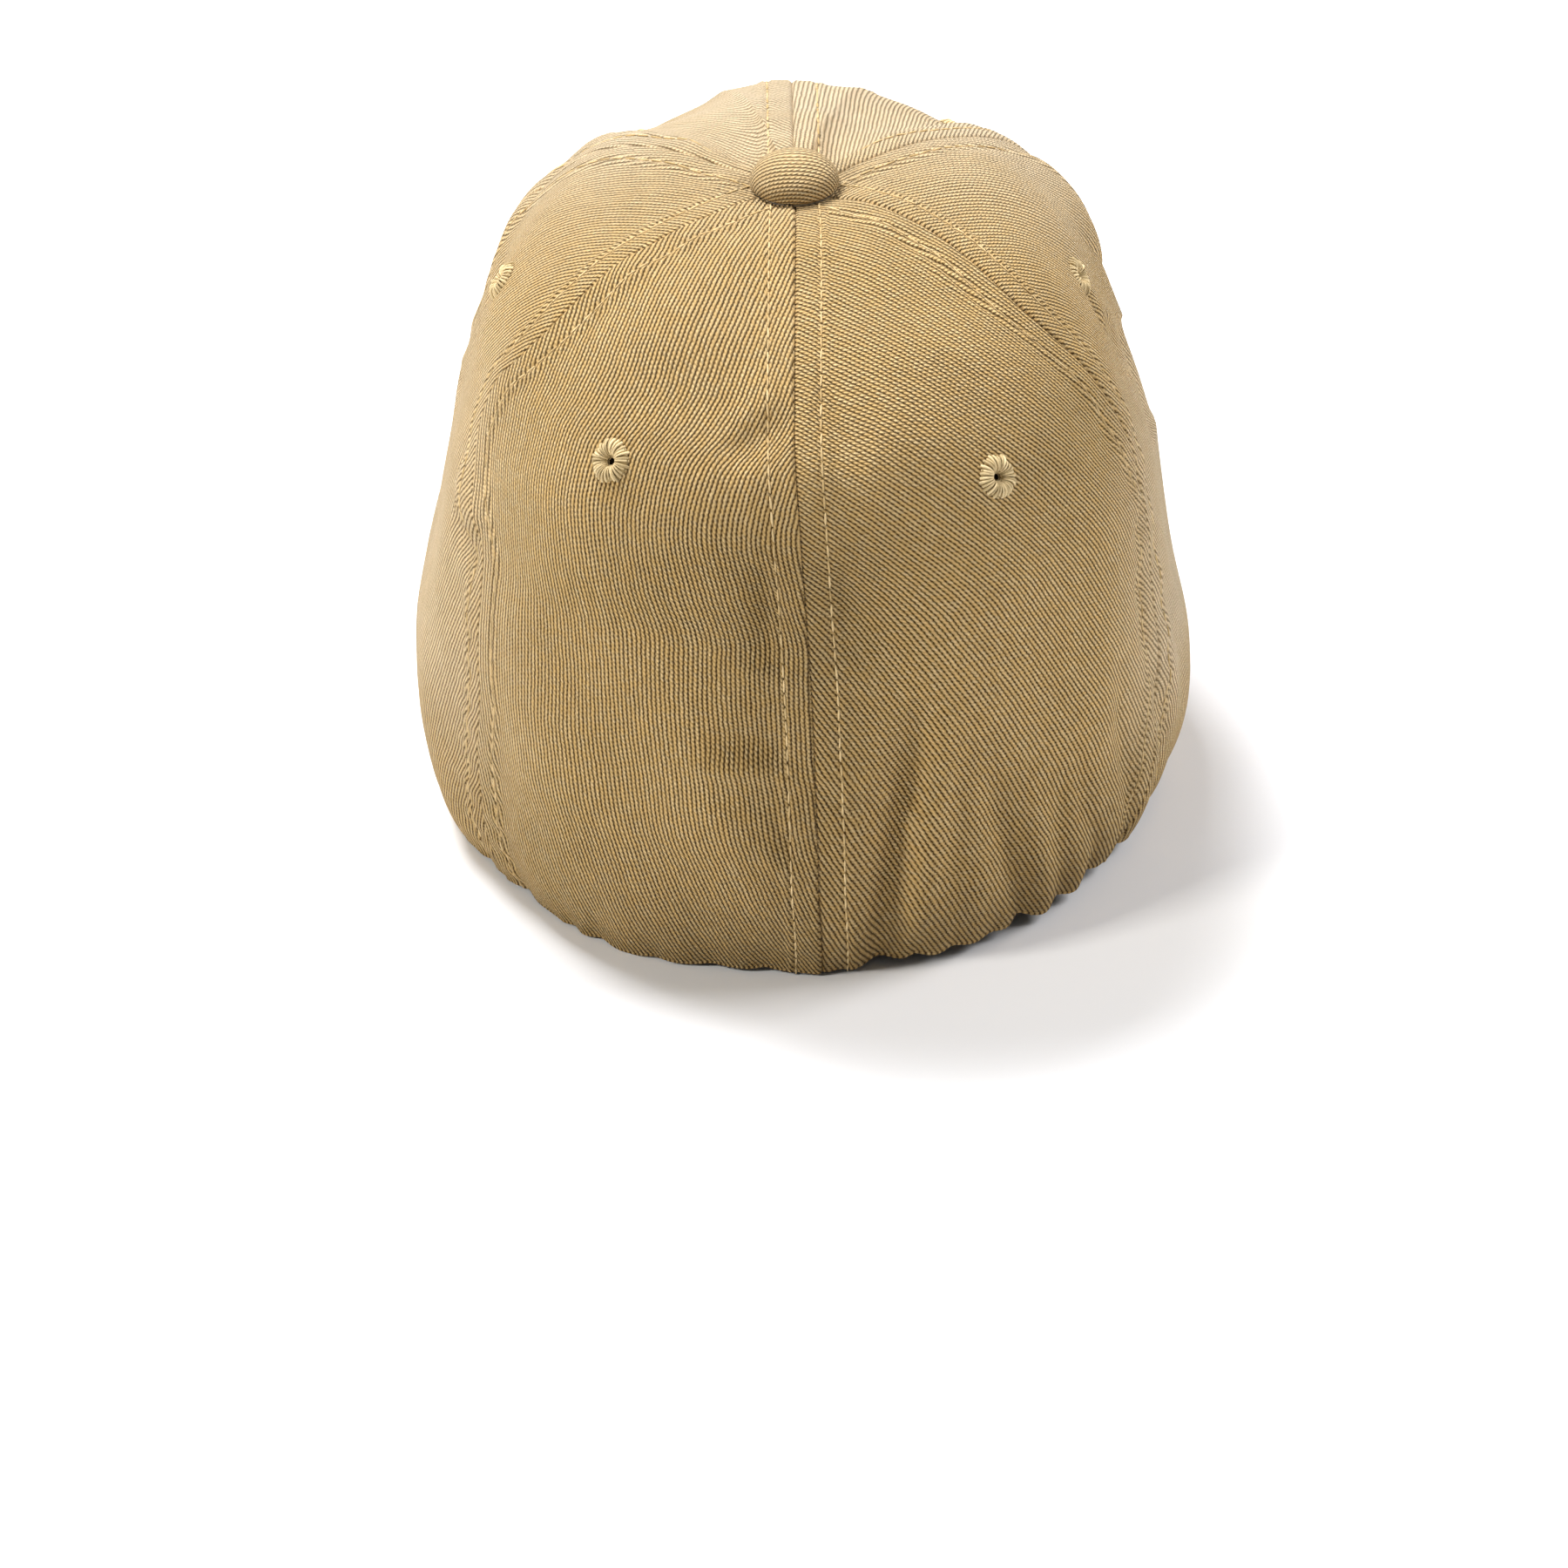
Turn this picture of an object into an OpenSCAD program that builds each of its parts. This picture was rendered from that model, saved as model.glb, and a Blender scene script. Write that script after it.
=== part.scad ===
// Six-panel baseball cap with a closed stretch-fit back, millimetres.
// The cap stands on its hem at z = 0. -Y is the back, +Y the visor, +X the wearer's right.
// Azimuths are in degrees, 0 at the centre back and turning towards +X.

/* [Crown] */
// Height from the hem to the crown's apex
crown_height = 141.5; // [110:0.5:165]
// Half the crown's width at its widest
half_width = 84; // [74:0.5:92]
// Distance from the apex's axis to the back wall
back_reach = 94; // [84:0.5:104]
// Distance from the apex's axis to the front wall
front_reach = 105.5; // [90:0.5:116]
// Height of the crown's widest line at the back
waist_height = 24; // [18:1:50]
// How far the hem draws in below the widest line, as a share of the reach
hem_draw_in = 0.077; // [0.02:0.001:0.12]
// Rise of the hem from the temples to the centre front
hem_rise = 26; // [10:1:34]
// Azimuth of the rear side seams at the hem
rear_seam_hem = 53; // [48:1:60]

/* [Cloth] */
// Thickness of the crown cloth
cloth = 0.9; // [0.6:0.1:1.4]
// Thickness of the stiffener behind the front panels
buckram = 0.5; // [0.3:0.1:0.8]
// Thickness of the tapes that cover the seams inside
tape = 0.45; // [0.3:0.05:0.6]
// Width of the seam tapes
tape_width = 12; // [8:1:16]
// Thickness of the elastic behind the sweatband
elastic = 0.4; // [0.3:0.05:0.6]
// Height of the elastic
elastic_height = 20; // [12:1:26]
// Thickness of the sweatband
sweatband_cloth = 1.1; // [0.8:0.1:1.6]
// Height of the sweatband
sweatband_height = 32; // [26:1:38]

/* [Visor] */
// Reach of the visor in front of the crown's axis
visor_reach = 178; // [165:1:186]
// Half the visor's greatest width
visor_half_width = 85; // [82:0.5:92]
// Azimuth of the visor's corners on the hem
visor_corner = 118; // [114:1:124]
// Height of the visor's top at its front edge
visor_tip_height = 17; // [13:1:26]
// Height of the visor's top at its widest sides
visor_side_height = 3.5; // [3.5:0.1:9]
// Thickness of the stiff board
board = 1.8; // [1.4:0.1:2.2]
// Margin of the covers beyond the board
board_margin = 2.5; // [2:0.5:4]

/* [Button and eyelets] */
// Diameter of the covered button
button_d = 19; // [16:0.5:21]
// Height of the covered button above the crown
button_height = 7.8; // [5:0.1:8.5]
// Diameter of the button's shank through the crown
shank_d = 3.6; // [3:0.1:4]
// Outer diameter of a sewn eyelet
eyelet_d = 9; // [7:0.5:10]
// Diameter of the hole in an eyelet
eyelet_hole_d = 2; // [1.6:0.1:3]

/* [Label] */
// Width of the blank size label
label_width = 24; // [18:1:30]
// Height of the blank size label
label_height = 17; // [12:1:20]

/* [Hidden] */
khaki = [0.72, 0.60, 0.43];
pale_thread = [0.76, 0.68, 0.52];
lining_white = [0.88, 0.86, 0.80];
lining_black = [0.12, 0.12, 0.12];

// Depths below the crown's outer surface at which each layer lies
layer_gap = 0.05;
lining_depth = cloth + layer_gap;
tape_depth = lining_depth + tape;
elastic_depth = max(tape_depth, lining_depth + buckram) + layer_gap;
sweatband_depth = elastic_depth + elastic + layer_gap;
inner_depth = sweatband_depth + sweatband_cloth;

// Roundness of the crown's outline, [back, side, front]: in plan reach, then in height
reach_power = [2.45, 4.8, 2.8];
height_power = [5.2, 1.2, 3.2];
apex_hole_r = shank_d / 2 + 0.4;
level_back = 85;
rise_power = 1.7;
visor_seat = 3;
visor_root_length = 40;
outline_power = 2.4;

seam_azimuths = [0, 60, 120, 180, 240, 300, 360];
panel_columns = 14;
panel_rows = [for (k = [0:21]) k < 4 ? -1 + k / 4 : (k - 4) / 17];

rear_eyelet = [29, 0.46];
side_eyelet = [88, 0.55];
front_eyelet = [151, 0.52];

// --- crown surface ---------------------------------------------------------------------

function mix(a, b, t) = a + (b - a) * t;

// Value at an azimuth from those at the back, side and front
function around(values, az) =
  mix(values[1], cos(az) > 0 ? values[0] : values[2], pow(cos(az), 2));

function plan_reach(az) =
  1 / sqrt(pow(sin(az) / half_width, 2) + pow(cos(az) / (cos(az) > 0 ? back_reach : front_reach), 2));

// Turns from the centre back, 0 to 180 on either side
function from_back(az) = acos(min(1, max(-1, cos(az))));

function hem_z(az) =
  hem_rise * pow(max(0, (from_back(az) - level_back) / (180 - level_back)), rise_power);

// The widest line rises with the hem, and stays above it
function waist_z(az) = waist_height + 0.75 * hem_z(az);

function hem_taper(az) =
  hem_draw_in * (cos(az) > 0 ? 1 : 1 - 0.6 * pow(cos(az), 2));

// Distance to the curve g^n + h^m = 1 along the ray whose direction is [c, s]
function ray(c, s, n, m, r = 1.3, steps = 7) =
  steps == 0 ? r : ray(c, s, n, m, r - (pow(r * c, n) + pow(r * s, m) - 1)
    / (n * pow(r * c, n) / r + m * pow(r * s, m) / r), steps - 1);

function dome(az, v) =
  let (phi = v * acos(apex_hole_r / plan_reach(az)),
       r = ray(cos(phi), max(sin(phi), 0.000001), around(reach_power, az), around(height_power, az)))
  [r * cos(phi), mix(waist_z(az), crown_height, r * sin(phi))];

function wall(az, v) =
  [1 - hem_taper(az) * v * v, mix(waist_z(az), hem_z(az), -v)];

// v runs from -1 at the hem through 0 at the widest line to 1 at the apex hole
function crown(az, v) =
  let (p = v > 0 ? dome(az, v) : wall(az, v), r = plan_reach(az) * p[0])
  [r * sin(az), -r * cos(az), p[1]];

// The v at which the crown has a given height
function v_at(az, z) =
  z <= waist_z(az) ? (z - waist_z(az)) / (waist_z(az) - hem_z(az))
  : let (h = (z - waist_z(az)) / (crown_height - waist_z(az)),
         g = pow(1 - pow(h, around(height_power, az)), 1 / around(reach_power, az)))
    atan2(h, g) / acos(apex_hole_r / plan_reach(az));

// A seam keeps its azimuth below the widest line and turns to its own sixth at the apex
function seam_azimuth(k, v) =
  let (base = seam_azimuths[k],
       hem = base == 60 ? rear_seam_hem : base == 300 ? 360 - rear_seam_hem : base)
  mix(hem, base, max(0, v));

// --- sheets between two depths of a surface --------------------------------------------

// Point of a surface moved out along its normal, kept level where the sheet stands on its foot
function skin(form, t, v, out, level) =
  let (e = 0.002, p = form(t, v),
       n = cross(form(t + e, v) - form(t - e, v), form(t, v + e) - form(t, v - e)),
       flat_n = level ? [n.x, n.y, 0] : n)
  p + out * flat_n / norm(flat_n);

function quad(a, b, c, d) = [[a, d, c], [a, c, b]];

// An outset is one number, or a list with one for each row
function outset_at(out, j) = is_list(out) ? out[j] : out;

// Closed sheet over the columns ts and rows vs, from outset "outer" to outset "inner"
module sheet(form, ts, vs, outer, inner, ring = false, level_foot = false) {
  nt = len(ts);
  nv = len(vs);
  points = [
    for (out = [outer, inner], j = [0:nv - 1], t = ts)
      skin(form, t, vs[j], outset_at(out, j), level_foot && j == 0)
  ];
  at = function (side, j, i) (side * nv + j) * nt + i % nt;
  cols = [0:(ring ? nt - 1 : nt - 2)];
  faces = concat(
    [for (j = [0:nv - 2], i = cols) each quad(at(0, j, i), at(0, j, i + 1), at(0, j + 1, i + 1), at(0, j + 1, i))],
    [for (j = [0:nv - 2], i = cols) each quad(at(1, j, i), at(1, j + 1, i), at(1, j + 1, i + 1), at(1, j, i + 1))],
    [for (i = cols) each quad(at(0, 0, i), at(1, 0, i), at(1, 0, i + 1), at(0, 0, i + 1))],
    [for (i = cols) each quad(at(0, nv - 1, i), at(0, nv - 1, i + 1), at(1, nv - 1, i + 1), at(1, nv - 1, i))],
    ring ? [] : [for (j = [0:nv - 2]) each quad(at(0, j, 0), at(0, j + 1, 0), at(1, j + 1, 0), at(1, j, 0))],
    ring ? [] : [
      for (j = [0:nv - 2])
        each quad(at(0, j, nt - 1), at(1, j, nt - 1), at(1, j + 1, nt - 1), at(0, j + 1, nt - 1))
    ]
  );
  polyhedron(points, faces, convexity = 8);
}

function spread(n) = [for (i = [0:n]) i / n];

// Puts its children on the crown at [azimuth, v], with +Z along the outward normal
module on_crown(place) {
  e = 0.002;
  az = place[0];
  v = place[1];
  n = cross(crown(az + e, v) - crown(az - e, v), crown(az, v + e) - crown(az, v - e));
  translate(crown(az, v)) rotate([0, acos(n.z / norm(n)), atan2(n.y, n.x)]) children();
}

// --- crown panels and linings ----------------------------------------------------------

// Panel between seams k and k + 1, with a hole for its eyelet
module panel(k, eyelet) {
  gore = function (t, v) crown(mix(seam_azimuth(k, v), seam_azimuth(k + 1, v), t), v);
  color(khaki) difference() {
    sheet(gore, spread(panel_columns), panel_rows, 0, -cloth, level_foot = true);
    on_crown(eyelet) eyelet_cutter();
  }
}

module eyelet_cutter() {
  cylinder(h = 12, d = eyelet_hole_d + 2.4, center = true, $fn = 32);
}

// Stiffener behind a front panel, between the tapes of its two seams
module buckram_sheet(k, eyelet) {
  rows = [for (j = [0:10]) mix(-0.94, 0.9, j / 10)];
  piece = function (t, v)
    let (edge = asin((tape_width / 2 + 0.4) / norm([crown(150, v).x, crown(150, v).y])))
    crown(mix(seam_azimuth(k, v) + edge, seam_azimuth(k + 1, v) - edge, t), v);
  color(lining_white) difference() {
    sheet(piece, spread(8), rows, -lining_depth, -lining_depth - buckram);
    on_crown(eyelet) eyelet_cutter();
  }
}

// Tape of even width over seam k, from the hem to near the apex
module seam_tape(k, top_v) {
  rows = [for (j = [0:16]) mix(-0.94, top_v, j / 16)];
  strip = function (t, v)
    let (base = crown(seam_azimuth(k, v), v))
    crown(seam_azimuth(k, v) + (t - 0.5) * 2 * asin(tape_width / 2 / norm([base.x, base.y])), v);
  sheet(strip, [0, 0.5, 1], rows, -lining_depth, -tape_depth);
}

// v near the apex at which the crown is a given distance from its axis
function v_near_apex(az, distance) =
  acos(distance / plan_reach(az)) / acos(apex_hole_r / plan_reach(az));

module side_seam_tape(k) {
  color(lining_black) seam_tape(k, v_near_apex(60, tape_width + 2));
}

module centre_seam_tape() {
  bridge = tape_width + 4;
  color(lining_black) difference() {
    union() {
      seam_tape(0, v_near_apex(0, tape_width * 0.6));
      seam_tape(3, v_near_apex(180, tape_width * 0.6));
      translate([-tape_width / 2, -bridge / 2, crown_height - tape_depth - 0.05])
        cube([tape_width, bridge, tape]);
    }
    translate([0, 0, crown_height - 5]) cylinder(h = 10, r = apex_hole_r, $fn = 32);
  }
}

// --- sweatband -------------------------------------------------------------------------

// Band inside the crown whose rows rise by equal heights from the hem
function band_point(az, low, high, s) = crown(az, v_at(az, hem_z(az) + mix(low, high, s)));

module sweatband() {
  band = function (az, s) band_point(az, 0.8, sweatband_height, s);
  color(khaki)
    sheet(band, [for (i = [0:71]) i * 5], spread(5), -sweatband_depth, -inner_depth, ring = true);
}

module rear_elastic() {
  strip = function (t, s) band_point(mix(-76, 76, t), 3, 3 + elastic_height, s);
  color(lining_white) sheet(strip, spread(24), spread(2), -elastic_depth, -elastic_depth - elastic);
}

// Blank woven tag sewn to the inside of the sweatband at the centre back
module size_label() {
  half = asin(label_width / 2 / back_reach);
  tag = function (t, s) band_point(mix(-half, half, t), 8, 8 + label_height, s);
  color(lining_white) sheet(tag, spread(4), spread(2), -inner_depth - layer_gap, -inner_depth - 0.4);
}

// --- visor -----------------------------------------------------------------------------

// Edge of the visor where it meets the crown, w from -1 to 1 across the cap
function visor_root(w) =
  let (az = 180 - w * (180 - visor_corner)) crown(az, v_at(az, hem_z(az) + visor_seat));

// Outer edge: a rounded outline whose sides tuck back to the corners
function visor_edge(w) =
  let (corner = visor_root(1),
       tuck = 180 - asin(pow(corner.x / visor_half_width, outline_power / 2)),
       a = abs(w) * tuck,
       widest_y = corner.y + visor_root_length * pow(-cos(tuck), 2 / outline_power),
       x = visor_half_width * pow(sin(a), 2 / outline_power),
       y = cos(a) >= 0
         ? widest_y + (visor_reach - widest_y) * pow(cos(a), 2 / outline_power)
         : widest_y - visor_root_length * pow(-cos(a), 2 / outline_power),
       side = x / visor_half_width,
       z = mix(visor_tip_height, visor_side_height, side * side))
  [w < 0 ? -x : x, y, mix(z, corner.z, pow(max(0, -cos(a)), 2))];

// s runs from 0 at the crown to 1 at the outer edge; the span between them is slightly domed
function visor(w, s) =
  let (root = visor_root(w), edge = visor_edge(w))
  mix(root, edge, s) + [0, 0, 2.4 * s * (1 - s) * (1 - w * w)];

// Height between the top and the foot of the finished visor
visor_stack = 2 * cloth + board + 2 * layer_gap;

module visor_layer(rows, outer, inner) {
  columns = [for (i = [0:32]) mix(-0.985, 0.985, i / 32)];
  top = function (w, s) visor(w, s);
  sheet(top, columns, rows, outer, inner);
}

function rim_share() = 1 - board_margin / (visor_reach - front_reach);

module visor_board() {
  color(lining_black)
    visor_layer([for (j = [0:6]) rim_share() * j / 6], -cloth - layer_gap, -cloth - layer_gap - board);
}

module visor_top_cover() {
  color(khaki) visor_layer(spread(7), 0, -cloth);
}

// The under cover turns up at the rim to meet the top cover
module visor_under_cover() {
  turn = mix(rim_share(), 1, 0.3);
  flat_rows = [for (j = [0:6]) turn * j / 6];
  rows = concat(flat_rows, [turn + 0.004, 1]);
  color(khaki)
    visor_layer(rows, [for (s = rows) s > turn ? -cloth : cloth - visor_stack], -visor_stack);
}

// --- button ----------------------------------------------------------------------------

button_r = button_d / 2;
shell_r = button_r - cloth - layer_gap;
shell_wall = 0.8;

module button_cover() {
  color(khaki) translate([0, 0, crown_height]) rotate_extrude($fn = 96) {
    polygon(dome_ring(button_r, button_height, shell_r + layer_gap / 2, button_height - cloth));
  }
}

// Half section of a domed shell standing on its rim, as one closed outline
function dome_ring(r, h, r_in, h_in) = concat(
  [for (a = [0:6:90]) [r * pow(cos(a), 0.8), h * sin(a)]],
  [for (a = [90:-6:0]) [r_in * pow(cos(a), 0.8), h_in * sin(a)]]
);

module button_shell() {
  inner_h = button_height - cloth - layer_gap;
  color("silver") translate([0, 0, crown_height]) {
    rotate_extrude($fn = 96)
      polygon(dome_ring(shell_r, inner_h, shell_r - shell_wall, inner_h - shell_wall));
    translate([0, 0, -3]) cylinder(h = inner_h + 2.4, d = shank_d, $fn = 48);
  }
}

module button_back() {
  plate_top = crown_height - tape_depth - 0.4;
  color("silver") translate([0, 0, plate_top - 1.2]) rotate_extrude($fn = 64)
    polygon([[shank_d / 2, 0], [6.6, 0], [7.4, 0.5], [7.4, 1.0], [7.0, 1.2], [shank_d / 2, 1.2]]);
}

// --- eyelets ---------------------------------------------------------------------------

// Overcast ring: a thread flange outside the cloth, a lined hole and a smaller flange inside
module eyelet(place, depth) {
  hole = eyelet_hole_d / 2;
  neck = hole + 1.15;
  flange = eyelet_d / 2;
  lift = 0.14;
  color(pale_thread) on_crown(place) rotate_extrude($fn = 64)
    polygon([
      [hole, -depth - 0.6], [neck + 0.4, -depth - 0.6], [neck + 1.0, -depth - 0.2],
      [neck + 0.6, -depth - 0.05], [neck, -depth - 0.05], [neck, lift * 0.4], [flange, lift * 0.4],
      [flange - 0.3, lift + 0.45], [flange - 1.4, lift + 0.8], [hole + 0.6, lift + 0.75], [hole, lift + 0.2]
    ]);
}

function mirrored(place) = [360 - place[0], place[1]];

panel(3, mirrored(front_eyelet));  // front_left_panel
panel(2, front_eyelet);  // front_right_panel
panel(4, mirrored(side_eyelet));  // side_left_panel
panel(1, side_eyelet);  // side_right_panel
panel(5, mirrored(rear_eyelet));  // rear_left_panel
panel(0, rear_eyelet);  // rear_right_panel
buckram_sheet(3, mirrored(front_eyelet));  // front_left_buckram
buckram_sheet(2, front_eyelet);  // front_right_buckram
centre_seam_tape();
side_seam_tape(4);  // front_left_seam_tape
side_seam_tape(2);  // front_right_seam_tape
side_seam_tape(5);  // rear_left_seam_tape
side_seam_tape(1);  // rear_right_seam_tape
sweatband();
rear_elastic();
size_label();
visor_board();
visor_top_cover();
visor_under_cover();
button_cover();
button_shell();
button_back();
eyelet(mirrored(front_eyelet), lining_depth + buckram);  // front_left_eyelet
eyelet(front_eyelet, lining_depth + buckram);  // front_right_eyelet
eyelet(mirrored(side_eyelet), cloth);  // side_left_eyelet
eyelet(side_eyelet, cloth);  // side_right_eyelet
eyelet(mirrored(rear_eyelet), cloth);  // rear_left_eyelet
eyelet(rear_eyelet, cloth);  // rear_right_eyelet
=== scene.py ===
import math

import bpy
import numpy as np
from mathutils import Matrix, Vector


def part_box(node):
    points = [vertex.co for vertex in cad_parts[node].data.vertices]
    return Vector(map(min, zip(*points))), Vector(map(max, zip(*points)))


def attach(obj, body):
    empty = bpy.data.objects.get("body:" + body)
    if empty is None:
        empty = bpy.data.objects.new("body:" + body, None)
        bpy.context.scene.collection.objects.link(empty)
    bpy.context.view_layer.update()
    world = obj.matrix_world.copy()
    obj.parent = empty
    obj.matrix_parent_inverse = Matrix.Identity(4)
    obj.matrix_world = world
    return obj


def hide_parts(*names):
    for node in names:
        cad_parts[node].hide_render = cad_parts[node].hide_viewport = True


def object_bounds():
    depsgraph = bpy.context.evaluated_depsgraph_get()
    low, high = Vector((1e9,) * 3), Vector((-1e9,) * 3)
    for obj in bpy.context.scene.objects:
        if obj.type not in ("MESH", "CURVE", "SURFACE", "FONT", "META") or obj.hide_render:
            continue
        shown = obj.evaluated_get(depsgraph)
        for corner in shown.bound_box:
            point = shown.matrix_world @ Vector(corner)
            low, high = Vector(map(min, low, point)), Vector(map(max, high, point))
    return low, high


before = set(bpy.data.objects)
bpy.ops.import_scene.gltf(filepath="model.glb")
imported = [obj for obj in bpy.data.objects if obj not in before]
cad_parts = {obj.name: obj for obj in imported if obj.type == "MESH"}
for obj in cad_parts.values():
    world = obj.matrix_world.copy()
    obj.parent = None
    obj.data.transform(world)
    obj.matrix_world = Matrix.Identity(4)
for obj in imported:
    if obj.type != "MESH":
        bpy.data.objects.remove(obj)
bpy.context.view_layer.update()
mm = 0.001
print("cap: frame loaded")

# The cap stands on its hem at z = 0: -Y is the back, +Y the visor, +X the wearer's right.
# Azimuths start at the centre back and turn towards +X.


def keepPiece(name, mesh):
    piece = bpy.data.objects.new(name, mesh)
    bpy.context.scene.collection.objects.link(piece)
    return piece


def meshPiece(name, points, faces, uv=None, sharp=55):
    points = np.asarray(points, float).reshape(-1, 3)
    used = np.zeros(len(points), bool)
    used[np.concatenate([np.asarray(f) for f in faces])] = True
    renumber = np.cumsum(used) - 1
    mesh = bpy.data.meshes.new(name)
    mesh.from_pydata(points[used].tolist(), [], [[int(renumber[i]) for i in f] for f in faces])
    if uv is not None:
        layer = mesh.uv_layers.new(name="cut")
        corner = np.zeros(len(mesh.loops), np.int32)
        mesh.loops.foreach_get("vertex_index", corner)
        layer.data.foreach_set("uv", uv.reshape(-1, 2)[used][corner].ravel())
    mesh.shade_smooth()
    mesh.set_sharp_from_angle(angle=math.radians(sharp))
    return keepPiece(name, mesh)


def foldedSheet(name, outer, inner, roll=None, uv=None, ring=False, hole=None):
    # outer and inner are grids of points with rows from the top down, and roll joins their feet.
    # hole marks the cells that are cut out of both faces.
    rows, cols = outer.shape[:2]
    loop = np.concatenate([outer] + ([roll] if roll is not None else []) + [inner[::-1]])
    count = len(loop)
    if uv is not None:
        uv = np.concatenate([uv, np.repeat(uv[-1:], count - 2 * rows, axis=0), uv[::-1]])
    cells = cols if ring else cols - 1
    cut = np.zeros((count, cells), bool)
    if hole is not None:
        cut[:rows - 1] = hole
        cut[count - rows:count - 1] = hole[::-1]
    a = np.arange(count)[:, None]
    i = np.arange(cells)[None, :]
    below = (a + 1) % count
    right = (i + 1) % cols
    quads = np.stack(np.broadcast_arrays(a * cols + i, below * cols + i, below * cols + right,
                                         a * cols + right), -1)[~cut].tolist()
    if hole is not None:
        quads += holeWall(hole, cols, count)
    if not ring:
        last = cols - 1
        for b in range(count // 2 - 1):
            far = count - 1 - b
            quads.append([b * cols, far * cols, (far - 1) * cols, (b + 1) * cols])
            quads.append([b * cols + last, (b + 1) * cols + last, (far - 1) * cols + last, far * cols + last])
    return meshPiece(name, loop, quads, uv)


def holeWall(hole, cols, count):
    faces = []
    for r, c in np.argwhere(hole):
        sides = {(r - 1, c): ((r, c + 1), (r, c)), (r + 1, c): ((r + 1, c), (r + 1, c + 1)),
                 (r, c - 1): ((r, c), (r + 1, c)), (r, c + 1): ((r + 1, c + 1), (r, c + 1))}
        for (nr, nc), (p, q) in sides.items():
            if hole[nr, nc]:
                continue
            front = [p[0] * cols + p[1], q[0] * cols + q[1]]
            back = [(count - 1 - p[0]) * cols + p[1], (count - 1 - q[0]) * cols + q[1]]
            faces.append([front[0], front[1], back[1], back[0]])
    return faces


def arcLength(points, axis):
    step = np.linalg.norm(np.diff(points, axis=axis), axis=-1)
    start = np.zeros_like(np.take(step, [0], axis=axis))
    return np.concatenate([start, np.cumsum(step, axis=axis)], axis=axis)


def smooth(low, high, x):
    t = np.clip((x - low) / (high - low), 0, 1)
    return t * t * (3 - 2 * t)


def hill(x, width):
    return np.exp(-(x / width) ** 2)


def mix(a, b, t):
    return a + (b - a) * t


# The crown's form, the same rule as the frame's own
crownForm = {
    "height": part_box("rear_left_panel")[1].z,
    "halfWidth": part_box("side_right_panel")[1].x,
    "backReach": -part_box("rear_left_panel")[0].y,
    "frontReach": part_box("front_left_panel")[1].y,
    "waist": 24 * mm,
    "hemDrawIn": 0.077,
    "hemRise": 26 * mm,
    "levelBack": 85,
    "risePower": 1.7,
    "rearSeamHem": 53,
    "reachPower": (2.45, 4.8, 2.8),      # back, side, front
    "heightPower": (5.2, 1.2, 3.2),
    "apexHole": 2.2 * mm,
    "cloth": 0.9 * mm,
    "lining": 0.95 * mm,                 # depth at which the linings begin
}


def around(values, az):
    c = np.cos(az)
    return values[1] + (np.where(c > 0, values[0], values[2]) - values[1]) * c * c


def planReach(az):
    reach = np.where(np.cos(az) > 0, crownForm["backReach"], crownForm["frontReach"])
    return 1 / np.sqrt((np.sin(az) / crownForm["halfWidth"]) ** 2 + (np.cos(az) / reach) ** 2)


def hemZ(az):
    fromBack = np.degrees(np.arccos(np.clip(np.cos(az), -1, 1)))
    level = crownForm["levelBack"]
    return crownForm["hemRise"] * np.clip((fromBack - level) / (180 - level), 0, 1) ** crownForm["risePower"]


def waistZ(az):
    return crownForm["waist"] + 0.75 * hemZ(az)


def apexTurn(az):
    return np.arccos(crownForm["apexHole"] / planReach(az))


def crownPoint(az, v):
    # v runs from -1 at the hem through 0 at the widest line to 1 at the apex hole
    az, v = np.broadcast_arrays(np.asarray(az, float), np.asarray(v, float))
    n, m, reach = around(crownForm["reachPower"], az), around(crownForm["heightPower"], az), planReach(az)
    phi = np.clip(v, 0, 1) * apexTurn(az)
    c, s = np.cos(phi), np.sin(phi) + 1e-9
    r = np.full(az.shape, 1.3)
    for _ in range(8):
        gn, hm = (r * c) ** n, (r * s) ** m
        r = r - (gn + hm - 1) / (n * gn / r + m * hm / r)
    low = np.clip(v, -1.2, 0)
    taper = crownForm["hemDrawIn"] * np.where(np.cos(az) > 0, 1, 1 - 0.6 * np.cos(az) ** 2)
    g = np.where(v > 0, r * c, 1 - taper * low ** 2)
    waist, hem = waistZ(az), hemZ(az)
    z = np.where(v > 0, waist + (crownForm["height"] - waist) * r * s, waist + (waist - hem) * low)
    return np.stack([reach * g * np.sin(az), -reach * g * np.cos(az), z], -1)


def vAtHeight(az, z):
    waist, hem = waistZ(az), hemZ(az)
    h = np.clip((z - waist) / (crownForm["height"] - waist), 0, 0.99999)
    g = (1 - h ** around(crownForm["heightPower"], az)) ** (1 / around(crownForm["reachPower"], az))
    return np.where(z <= waist, (z - waist) / (waist - hem), np.arctan2(h, g) / apexTurn(az))


def vNearApex(az, distance):
    return np.arccos(np.clip(distance / planReach(az), -1, 1)) / apexTurn(az)


def crownNormal(az, v):
    e = 1e-4
    az, v = np.broadcast_arrays(np.asarray(az, float), np.asarray(v, float))
    low, high = np.clip(v - e, -1.1, 1), np.clip(v + e, -1.1, 1)
    n = np.cross(crownPoint(az + e, v) - crownPoint(az - e, v), crownPoint(az, high) - crownPoint(az, low))
    return n / np.linalg.norm(n, axis=-1, keepdims=True)


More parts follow.
